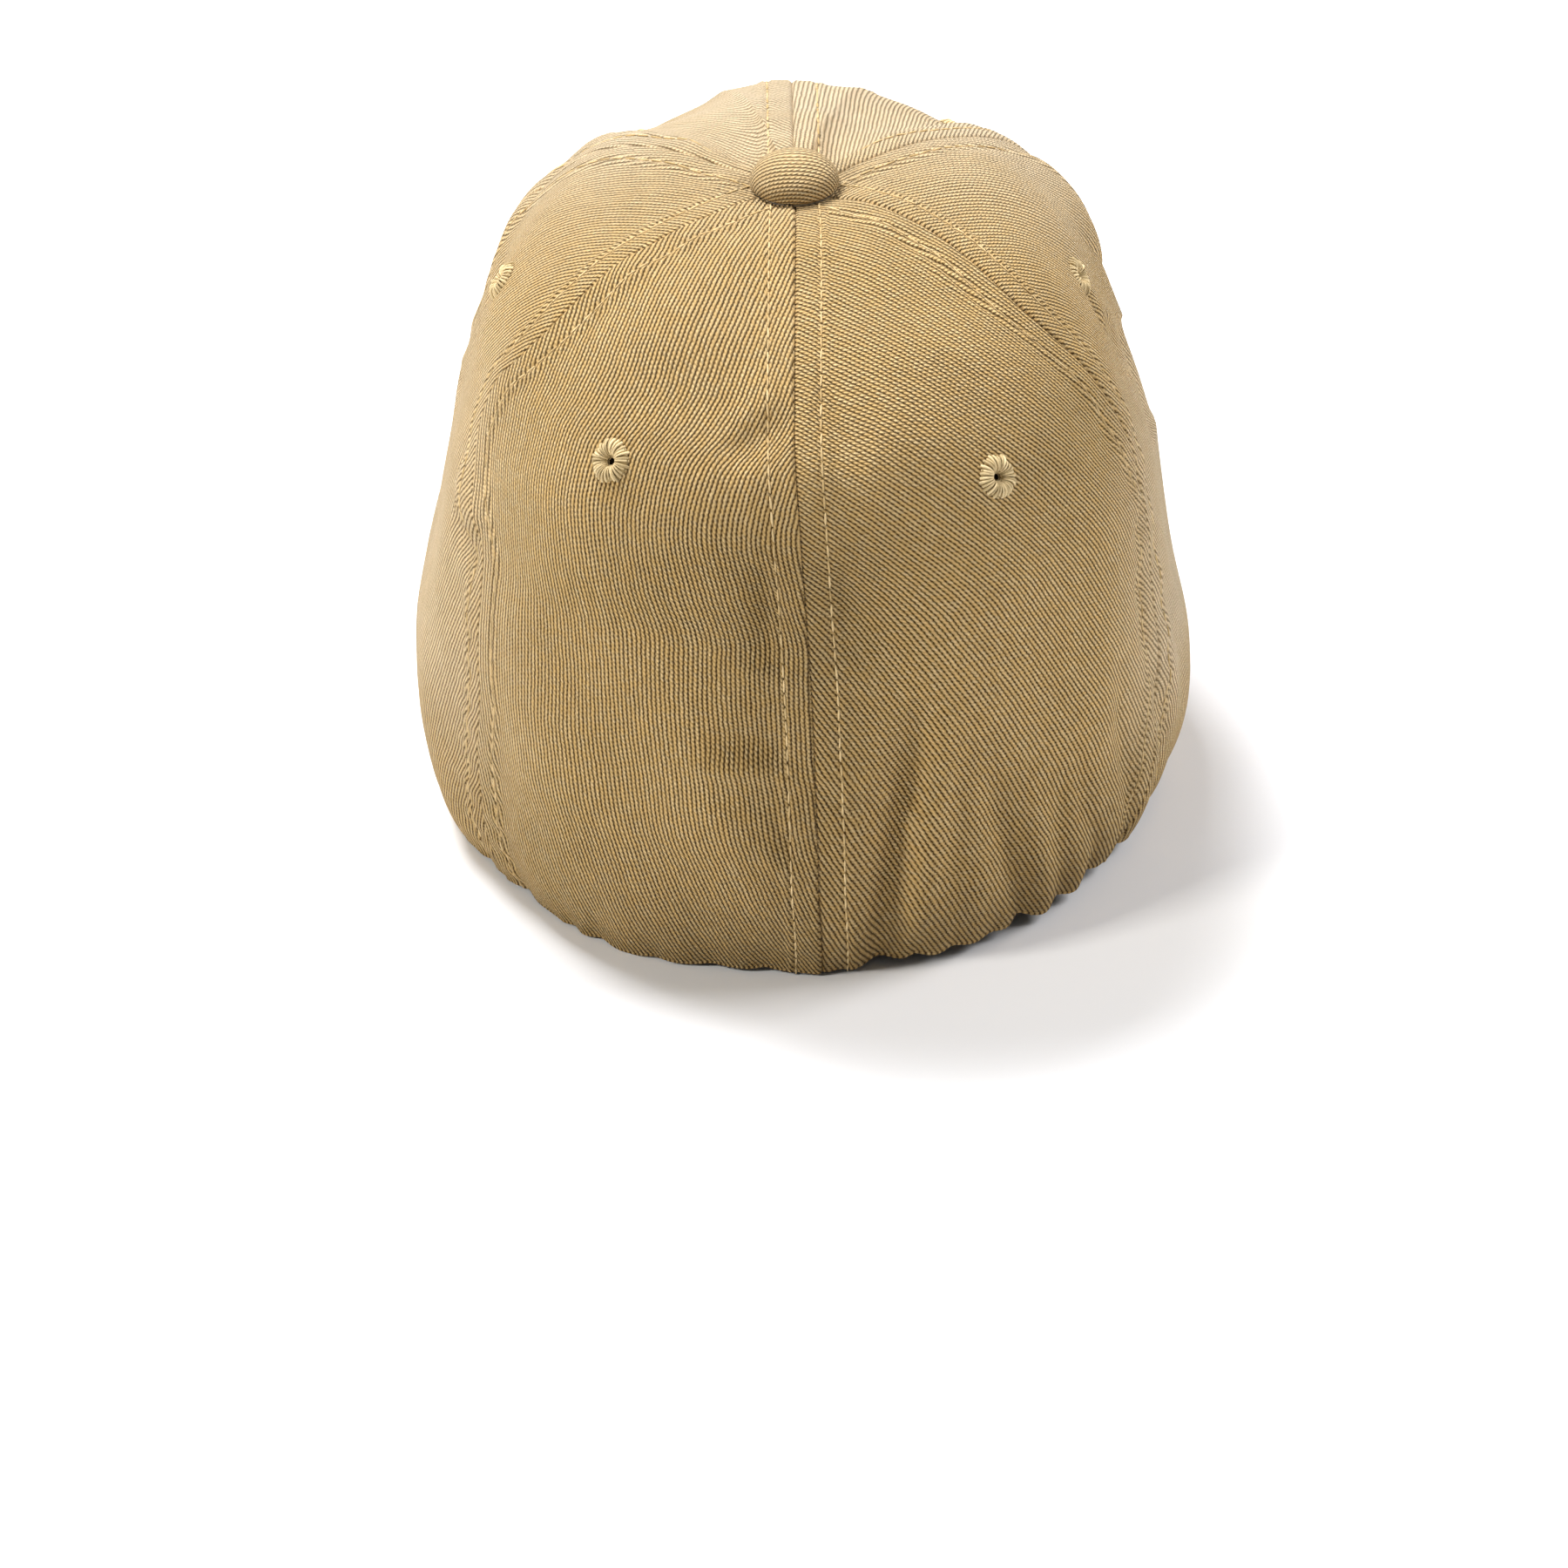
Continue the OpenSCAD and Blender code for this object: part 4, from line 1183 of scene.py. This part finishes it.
def makeTwillGroup():
    # diagonal ribs of short floats over a flat cut in metres
    group, start, end = newGroup("twillWeave", [
        ("Cut", "Vector", None), ("Pitch", "Float", 1.0 * mm), ("Lean", "Float", 0.45),
        ("Bead", "Float", 0.95), ("Wander", "Float", 0.8 * mm), ("Jog", "Float", 0.45 * mm),
    ], [("Height", "Float"), ("Groove", "Float"), ("Fleck", "Float")])
    cut, pitch = start.outputs["Cut"], start.outputs["Pitch"]
    split = place(group, "ShaderNodeSeparateXYZ", {0: cut})
    wander = calc(group, "SUBTRACT", noise(group, cut, 55, 2), 0.5)
    jog = calc(group, "SUBTRACT", noise(group, cut, 420, 2), 0.5)
    u = calc(group, "MULTIPLY_ADD", wander, start.outputs["Wander"], split.outputs[0])
    u = calc(group, "MULTIPLY_ADD", jog, start.outputs["Jog"], u)
    v = split.outputs[1]
    cosLean = calc(group, "COSINE", start.outputs["Lean"])
    sinLean = calc(group, "SINE", start.outputs["Lean"])
    across = calc(group, "ADD", calc(group, "MULTIPLY", u, cosLean), calc(group, "MULTIPLY", v, sinLean))
    along = calc(group, "SUBTRACT", calc(group, "MULTIPLY", v, cosLean), calc(group, "MULTIPLY", u, sinLean))
    across, along = calc(group, "DIVIDE", across, pitch), calc(group, "DIVIDE", along, pitch)
    number = calc(group, "FLOOR", calc(group, "ADD", across, 0.5))
    inRib = calc(group, "SUBTRACT", across, number)                       # -0.5 to 0.5 across a rib
    beads = calc(group, "MULTIPLY", along, start.outputs["Bead"])
    phase = place(group, "ShaderNodeTexWhiteNoise", {"W": number}, noise_dimensions="1D").outputs["Value"]
    twist = calc(group, "ADD", calc(group, "MULTIPLY", phase, 0.7), calc(group, "MULTIPLY", number, 0.37))
    twist = calc(group, "ADD", twist, calc(group, "MULTIPLY_ADD", inRib, 0.8, beads))
    bead = calc(group, "COSINE", calc(group, "MULTIPLY", twist, math.tau))
    bead = calc(group, "MULTIPLY_ADD", bead, 0.5, 0.5)
    edge = calc(group, "MULTIPLY", calc(group, "ABSOLUTE", inRib), 2.0)   # 1 in the groove
    yarn = noise(group, combine(group, across, calc(group, "MULTIPLY", along, 0.12)), 1.3, 3, 0.6)
    slub = noise(group, combine(group, number, calc(group, "MULTIPLY", along, 0.03), 4.0), 1.0, 1)
    wear = noise(group, cut, 420, 3, 0.6)
    knot = calc(group, "FLOOR", calc(group, "ADD", twist, 0.5))
    speck = place(group, "ShaderNodeTexWhiteNoise", {"Vector": combine(group, number, knot)},
                  noise_dimensions="2D").outputs["Value"]
    gape = calc(group, "MULTIPLY_ADD", bead, -0.75, 1.5)                 # beads close the groove in turn
    gape = calc(group, "MULTIPLY", gape, calc(group, "MULTIPLY_ADD", yarn, 0.9, 0.6))
    groove = calc(group, "MULTIPLY", calc(group, "POWER", edge, 1.7), gape)
    groove.node.use_clamp = True
    crest = calc(group, "SUBTRACT", 1.0, calc(group, "POWER", edge, 2.0))
    height = calc(group, "MULTIPLY", crest, calc(group, "MULTIPLY_ADD", bead, 0.50, 0.50))
    height = calc(group, "MULTIPLY", height, calc(group, "MULTIPLY_ADD", speck, 0.5, 0.72))
    height = calc(group, "MULTIPLY", height, calc(group, "MULTIPLY_ADD", yarn, 0.8, 0.6))
    height = calc(group, "MULTIPLY_ADD", noise(group, cut, 4600, 2, 0.7), 0.25, height)
    fleck = calc(group, "ADD", calc(group, "MULTIPLY", slub, 0.8), calc(group, "MULTIPLY", yarn, 0.9))
    fleck = calc(group, "MULTIPLY_ADD", wear, 0.8, fleck)
    fleck = calc(group, "MULTIPLY_ADD", speck, 0.9, fleck)
    fleck = calc(group, "SUBTRACT", fleck, 1.2)
    for socket, value in zip(end.inputs, (height, groove, fleck)):
        group.links.new(value, socket)
    return group


def makeFadeGroup():
    # slow fading and handling marks over the object, from Object coordinates
    group, start, end = newGroup("washFade", [("Place", "Vector", None), ("Size", "Float", 28.0)],
                                 [("Fade", "Float")])
    wide = noise(group, start.outputs["Place"], start.outputs["Size"], 4, 0.6)
    near = noise(group, start.outputs["Place"], calc(group, "MULTIPLY", start.outputs["Size"], 7.0), 3, 0.65)
    fade = calc(group, "MULTIPLY_ADD", wide, 0.65, calc(group, "MULTIPLY", near, 0.35))
    group.links.new(fade, end.inputs[0])
    return group


def ramp(tree, value, low, high):
    node = place(tree, "ShaderNodeMapRange", {"Value": value, "From Min": low, "From Max": high},
                 interpolation_type="SMOOTHSTEP")
    return node.outputs[0]


def makePaintedLightGroup():
    # painted highlight: the cloth is painted paler over the front's top and down both sides, where the light
    # falls
    group, start, end = newGroup("paintedHighlightAndShade", [
        ("Place", "Vector", None), ("Top", "Float", 0.56), ("Side", "Float", 0.36), ("PaintedShadeAmount", "Float", 0.2),
    ], [("PaintedHighlight", "Float"), ("PaintedShade", "Float")])
    at = place(group, "ShaderNodeSeparateXYZ", {0: start.outputs["Place"]})
    high = ramp(group, at.outputs["Z"], 0.095, 0.142)
    front = calc(group, "MULTIPLY_ADD", ramp(group, at.outputs["Y"], -0.035, 0.055), 0.92, 0.08)
    top = calc(group, "MULTIPLY", calc(group, "MULTIPLY", high, front), start.outputs["Top"])
    left = ramp(group, calc(group, "MULTIPLY", at.outputs["X"], -1.0), 0.050, 0.082)
    right = calc(group, "MULTIPLY", ramp(group, at.outputs["X"], 0.060, 0.084), 1.3)
    side = calc(group, "MULTIPLY", calc(group, "MAXIMUM", left, right), start.outputs["Side"])
    side = calc(group, "MULTIPLY", side, ramp(group, at.outputs["Z"], 0.004, 0.05))
    patchy = calc(group, "MULTIPLY_ADD", noise(group, start.outputs["Place"], 42, 3, 0.6), 0.7, 0.65)
    paintedHighlight = calc(group, "MULTIPLY", calc(group, "MAXIMUM", top, side), patchy)
    paintedHighlight.node.use_clamp = True
    group.links.new(paintedHighlight, end.inputs[0])
    # painted shade: darker down the back seam and along the back hem
    behind = calc(group, "MULTIPLY", at.outputs["Y"], -1.0)
    below = calc(group, "MULTIPLY", at.outputs["Z"], -1.0)
    near = calc(group, "MULTIPLY", calc(group, "ABSOLUTE", at.outputs["X"]), -1.0)
    seam = calc(group, "MULTIPLY", ramp(group, near, -0.024, -0.004), ramp(group, below, -0.125, -0.095))
    wearAndShade = calc(group, "MAXIMUM", seam, ramp(group, below, -0.050, 0.0))
    wearAndShade = calc(group, "MULTIPLY", wearAndShade, ramp(group, behind, 0.02, 0.06))
    group.links.new(calc(group, "MULTIPLY", wearAndShade, start.outputs["PaintedShadeAmount"]), end.inputs[1])
    return group


def makePlainWeaveGroup():
    # over and under weave of tapes, linings and labels
    group, start, end = newGroup("plainWeave", [
        ("Cut", "Vector", None), ("Pitch", "Float", 0.5 * mm), ("Stretch", "Float", 1.0),
    ], [("Height", "Float"), ("Gap", "Float")])
    split = place(group, "ShaderNodeSeparateXYZ", {0: start.outputs["Cut"]})
    pitch = start.outputs["Pitch"]
    u = calc(group, "DIVIDE", split.outputs[0], pitch)
    v = calc(group, "DIVIDE", calc(group, "DIVIDE", split.outputs[1], pitch), start.outputs["Stretch"])
    warp = calc(group, "ABSOLUTE", calc(group, "SINE", calc(group, "MULTIPLY", u, math.pi)))
    weft = calc(group, "ABSOLUTE", calc(group, "SINE", calc(group, "MULTIPLY", v, math.pi)))
    cell = calc(group, "ADD", calc(group, "FLOOR", u), calc(group, "FLOOR", v))
    odd = calc(group, "FLOORED_MODULO", cell, 2.0)
    over = calc(group, "MULTIPLY", warp, calc(group, "MULTIPLY_ADD", weft, 0.5, 0.5))
    under = calc(group, "MULTIPLY", weft, calc(group, "MULTIPLY_ADD", warp, 0.5, 0.5))
    height = calc(group, "ADD", calc(group, "MULTIPLY", over, odd),
                  calc(group, "MULTIPLY", under, calc(group, "SUBTRACT", 1.0, odd)))
    fibre = noise(group, start.outputs["Cut"], 3800, 2, 0.7)
    height = calc(group, "MULTIPLY_ADD", fibre, 0.3, height)
    gap = calc(group, "SUBTRACT", 1.0, calc(group, "MAXIMUM", warp, weft))
    for socket, value in zip(end.inputs, (height, gap)):
        group.links.new(value, socket)
    return group


twillGroup = makeTwillGroup()
fadeGroup = makeFadeGroup()
paintedLightGroup = makePaintedLightGroup()
plainGroup = makePlainWeaveGroup()


def startMaterial(name):
    material = bpy.data.materials.new(name)
    material.use_nodes = True
    tree = material.node_tree
    shader = next(n for n in tree.nodes if n.type == "BSDF_PRINCIPLED")
    return material, tree, shader


def placeGroup(tree, group, **values):
    node = place(tree, "ShaderNodeGroup", node_tree=group)
    for title, value in values.items():
        feed(tree, node.inputs[title], value)
    return node


def addBump(tree, shader, height, distance):
    node = place(tree, "ShaderNodeBump", {"Strength": 1.0, "Distance": distance, "Height": height})
    tree.links.new(node.outputs[0], shader.inputs["Normal"])


def cutMap(tree):
    return place(tree, "ShaderNodeUVMap", uv_map="cut").outputs[0]


def objectPlace(tree):
    return place(tree, "ShaderNodeTexCoord").outputs["Object"]


def softCloth(shader, sheen, tint, specular):
    shader.inputs["Specular IOR Level"].default_value = specular
    shader.inputs["Sheen Weight"].default_value = sheen
    shader.inputs["Sheen Roughness"].default_value = 0.4
    shader.inputs["Sheen Tint"].default_value = tint


twillLook = {
    "ridge": (0.650, 0.425, 0.160, 1),
    # the groove colour is painted shade in the weave's grooves
    "groove": (0.075, 0.036, 0.005, 1),
    "pale": (0.88, 0.66, 0.34, 1),
    # the next colour is a painted highlight, for the top and sides
    "paintedHighlightColour": (0.80, 0.71, 0.56, 1),
    "pitch": 1.0 * mm,
    "depth": 0.62 * mm,
    "sheen": 0.07,
    "sheenTint": (1.0, 0.86, 0.62, 1),
    "specular": 0.15,
}


def makeTwill(name, leanDegrees):
    material, tree, shader = startMaterial(name)
    weave = placeGroup(tree, twillGroup, Cut=cutMap(tree), Pitch=twillLook["pitch"],
                       Lean=math.radians(leanDegrees))
    fade = placeGroup(tree, fadeGroup, Place=objectPlace(tree))
    paintedLight = placeGroup(tree, paintedLightGroup, Place=objectPlace(tree))
    light = calc(tree, "MULTIPLY_ADD", weave.outputs["Fleck"], 1.3, -0.35)
    light.node.use_clamp = True
    colour = blendColour(tree, calc(tree, "MULTIPLY", light, 0.55), twillLook["ridge"], twillLook["pale"])
    # painted highlight: paler over the top and sides
    colour = blendColour(tree, paintedLight.outputs["PaintedHighlight"], colour, twillLook["paintedHighlightColour"])
    grooveShade = calc(tree, "MULTIPLY_ADD", paintedLight.outputs["PaintedHighlight"], -0.8, 1.0)      # the groove's painted shade is weaker under the painted highlight
    grooveShade = calc(tree, "MULTIPLY", weave.outputs["Groove"], grooveShade)
    # painted shade in the twill's grooves
    colour = blendColour(tree, grooveShade, colour, twillLook["groove"])
    wash = calc(tree, "MULTIPLY_ADD", fade.outputs["Fade"], 0.36, 0.82)
    # painted shade down the back seam and along the back hem
    wash = calc(tree, "SUBTRACT", wash, paintedLight.outputs["PaintedShade"])
    colour = blendColour(tree, 1.0, colour, combine(tree, wash, wash, wash), "MULTIPLY")
    tree.links.new(colour, shader.inputs["Base Color"])
    feed(tree, shader.inputs["Roughness"], calc(tree, "MULTIPLY_ADD", weave.outputs["Groove"], 0.2, 0.70))
    softCloth(shader, twillLook["sheen"], twillLook["sheenTint"], twillLook["specular"])
    addBump(tree, shader, weave.outputs["Height"], twillLook["depth"])
    return material


def makeThread(name, pale, dark, depth=0.08 * mm):
    material, tree, shader = startMaterial(name)
    spot = objectPlace(tree)
    fuzz = noise(tree, spot, 3200, 3, 0.7)
    slow = noise(tree, spot, 260, 2)
    own = place(tree, "ShaderNodeAttribute", attribute_name="shade").outputs["Fac"]
    share = calc(tree, "MULTIPLY_ADD", slow, 0.4, calc(tree, "MULTIPLY_ADD", fuzz, 0.6, -0.5))
    share = calc(tree, "ADD", share, own)
    share.node.use_clamp = True
    colour = blendColour(tree, share, dark, pale)
    tree.links.new(colour, shader.inputs["Base Color"])
    feed(tree, shader.inputs["Roughness"], calc(tree, "MULTIPLY_ADD", fuzz, 0.2, 0.55))
    softCloth(shader, 0.1, (1, 0.9, 0.72, 1), 0.2)
    addBump(tree, shader, fuzz, depth)
    return material


def makeWeave(name, colour, gapColour, pitch, stretch, depth, sheen=0.2, specular=0.2, rough=0.85):
    material, tree, shader = startMaterial(name)
    weave = placeGroup(tree, plainGroup, Cut=cutMap(tree), Pitch=pitch, Stretch=stretch)
    fade = placeGroup(tree, fadeGroup, Place=objectPlace(tree), Size=60.0)
    shade = blendColour(tree, calc(tree, "MULTIPLY", weave.outputs["Gap"], 1.6), colour, gapColour)
    wash = calc(tree, "MULTIPLY_ADD", fade.outputs[0], 0.3, 0.85)
    shade = blendColour(tree, 1.0, shade, combine(tree, wash, wash, wash), "MULTIPLY")
    tree.links.new(shade, shader.inputs["Base Color"])
    feed(tree, shader.inputs["Roughness"], calc(tree, "MULTIPLY_ADD", weave.outputs["Gap"], 0.1, rough))
    softCloth(shader, sheen, (1, 1, 1, 1), specular)
    addBump(tree, shader, weave.outputs["Height"], depth)
    return material


def makeHard(name, colour, wearAndShade, metallic, rough, grain, depth):
    material, tree, shader = startMaterial(name)
    spot = objectPlace(tree)
    fine = noise(tree, spot, grain, 4, 0.7)
    slow = noise(tree, spot, 90, 3)
    share = calc(tree, "MULTIPLY_ADD", slow, 1.6, -0.4)
    share.node.use_clamp = True
    tree.links.new(blendColour(tree, share, colour, wearAndShade), shader.inputs["Base Color"])
    shader.inputs["Metallic"].default_value = metallic
    feed(tree, shader.inputs["Roughness"], calc(tree, "MULTIPLY_ADD", fine, 0.25, rough))
    addBump(tree, shader, fine, depth)
    return material


panelTwills = {name: makeTwill(name.replace("_panel", "") + "Twill", grainLean[name]) for name in panels}
visorTwill = makeTwill("visorTwill", 28)
underTwill = makeTwill("underVisorTwill", -28)
buttonTwill = makeTwill("buttonTwill", 88)
bandTwill = makeTwill("sweatbandTwill", 50)
topThread = makeThread("topThread", (0.72, 0.54, 0.28, 1), (0.44, 0.29, 0.11, 1))
eyeletThread = makeThread("eyeletThread", (0.86, 0.68, 0.38, 1), (0.34, 0.24, 0.10, 1), 0.12 * mm)
bandThread = makeThread("bandThread", (0.62, 0.47, 0.27, 1), (0.44, 0.31, 0.15, 1))
buckramWeave = makeWeave("buckramWeave", (0.74, 0.71, 0.63, 1), (0.30, 0.28, 0.23, 1),
                         0.9 * mm, 1.0, 0.25 * mm)
tapeWeave = makeWeave("tapeWeave", (0.030, 0.029, 0.028, 1), (0.008, 0.008, 0.008, 1),
                      0.45 * mm, 1.0, 0.12 * mm)
elasticWeave = makeWeave("elasticWeave", (0.70, 0.68, 0.64, 1), (0.35, 0.33, 0.30, 1),
                         1.1 * mm, 0.5, 0.2 * mm)
labelSatin = makeWeave("labelSatin", (0.80, 0.79, 0.75, 1), (0.62, 0.60, 0.56, 1), 0.28 * mm, 3.0, 0.04 * mm,
                       0.3, 0.5, 0.42)
boardPlastic = makeHard("boardPlastic", (0.035, 0.035, 0.037, 1), (0.06, 0.06, 0.06, 1),
                        0.0, 0.4, 900, 0.05 * mm)
stampedSteel = makeHard("stampedSteel", (0.55, 0.55, 0.56, 1), (0.36, 0.34, 0.31, 1),
                        1.0, 0.28, 1400, 0.02 * mm)
print("cap: materials mixed")


def dress(piece, material):
    piece.data.materials.clear()
    piece.data.materials.append(material)


linedWith = {"buckram": buckramWeave, "seam_tape": tapeWeave, "elastic": elasticWeave,
             "label_satin": labelSatin, "sweatband_cloth": bandTwill}
nodeLooks = {**panelTwills, "visor_top_cover": visorTwill, "visor_under_cover": underTwill}
for piece, nodes, slot in pieces.values():
    dress(piece, linedWith[slot] if slot in linedWith else nodeLooks[nodes[0]])
for nodeName, look in (("visor_board", boardPlastic), ("button_shell", stampedSteel),
                       ("button_back", stampedSteel)):
    dress(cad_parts[nodeName], look)

disc = button["wrapReach"] * (math.pi / 2 + button["footShare"] * math.radians(button["tuck"]))
discCut = ((2 * disc, 2 * disc), math.pi * disc ** 2)
keepCloth((buildButton(buttonTwill), discCut), "button_cover", "cotton_twill")
print("cap: button covered")

eyeletTree = makeEyeletTree()
for nodeName in eyelets:
    piece = buildEyelet(nodeName, eyeletTree, eyeletThread)
    pieces[piece.name] = (piece, (nodeName,), "sewing_thread")
print("cap: eyelets overcast")

stitchTree = makeStitchTree()
for name, rows, settings, thread in (
        ("crown_topstitching", crownRows(), crownStitch, topThread),
        ("visor_stitching", visorRows(), visorStitch, topThread),
        ("sweatband_stitching", bandRows(), bandStitch, bandThread)):
    piece = growPiece(rowMesh(name, rows), stitchTree, {**settings, "Thread": thread})
    pieces[piece.name] = (piece, (), "sewing_thread")
print("cap: topstitching sewn")

stageLook = {"size": 8.0, "colour": (0.92, 0.92, 0.92, 1), "shade": (0.90, 0.90, 0.90, 1), "below": 0.1 * mm}


def makeStage():
    half = stageLook["size"] / 2
    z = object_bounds()[0][2] - stageLook["below"]
    corners = [(-half, -half, z), (half, -half, z), (half, half, z), (-half, half, z)]
    floor = meshPiece("floor", corners, [[0, 1, 2, 3]])
    material, tree, shader = startMaterial("paleFloor")
    tone = blendColour(tree, noise(tree, objectPlace(tree), 3.0, 2), stageLook["colour"], stageLook["shade"])
    tree.links.new(tone, shader.inputs["Base Color"])
    shader.inputs["Roughness"].default_value = 0.9
    shader.inputs["Specular IOR Level"].default_value = 0.1
    dress(floor, material)


lights = {         # place, target, size, power, colour
    "key": ((-0.65, 0.85, 1.90), (0, 0.02, 0.08), 0.9, 72.0, (0.98, 0.99, 1.03)),
    "right": ((1.35, 0.10, 1.22), (0, 0, 0.08), 0.8, 22.0, (0.99, 0.99, 1.02)),
    "rear": ((-1.45, -0.90, 1.20), (0, 0, 0.06), 0.35, 22.5, (1.0, 0.98, 0.94)),
}
studio = {"world": 0.12}


def makeLights():
    for name, (spot, target, size, power, colour) in lights.items():
        lamp = bpy.data.lights.new(name, "AREA")
        lamp.size = size
        lamp.energy = power
        lamp.color = colour
        thing = bpy.data.objects.new(name, lamp)
        thing.location = spot
        thing.rotation_euler = (Vector(target) - Vector(spot)).to_track_quat("-Z", "Y").to_euler()
        bpy.context.scene.collection.objects.link(thing)
    world = bpy.data.worlds.new("studio")
    world.use_nodes = True
    background = world.node_tree.nodes["Background"]
    background.inputs["Color"].default_value = (1, 1, 1, 1)
    background.inputs["Strength"].default_value = studio["world"]
    bpy.context.scene.world = world
    bpy.context.scene.view_settings.view_transform = "Standard"


view = {
    "target": (-4.35 * mm, 0, -8.34 * mm),
    "elevation": 32.67,
    "distance": 1.6,
    "roll": -0.963,
    "sensor": 36,
    "lens": 164.704,
}


def makeCamera():
    tilt = math.radians(view["elevation"])
    tx, ty, tz = view["target"]
    camera = bpy.data.cameras.new("camera")
    camera.sensor_width = view["sensor"]
    camera.lens = view["lens"]
    camera.clip_start = 0.05
    camera.clip_end = 20
    thing = bpy.data.objects.new("camera", camera)
    thing.location = (tx, ty - view["distance"] * math.cos(tilt), tz + view["distance"] * math.sin(tilt))
    turn = Matrix.Rotation(math.pi / 2 - tilt, 4, "X") @ Matrix.Rotation(math.radians(view["roll"]), 4, "Z")
    thing.rotation_euler = turn.to_euler()
    bpy.context.scene.collection.objects.link(thing)
    bpy.context.scene.camera = thing


makeStage()
makeLights()
makeCamera()
print("cap: studio set up")

for name, (piece, nodes, slot) in pieces.items():
    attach(piece, "root")
    if nodes:
        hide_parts(*nodes)
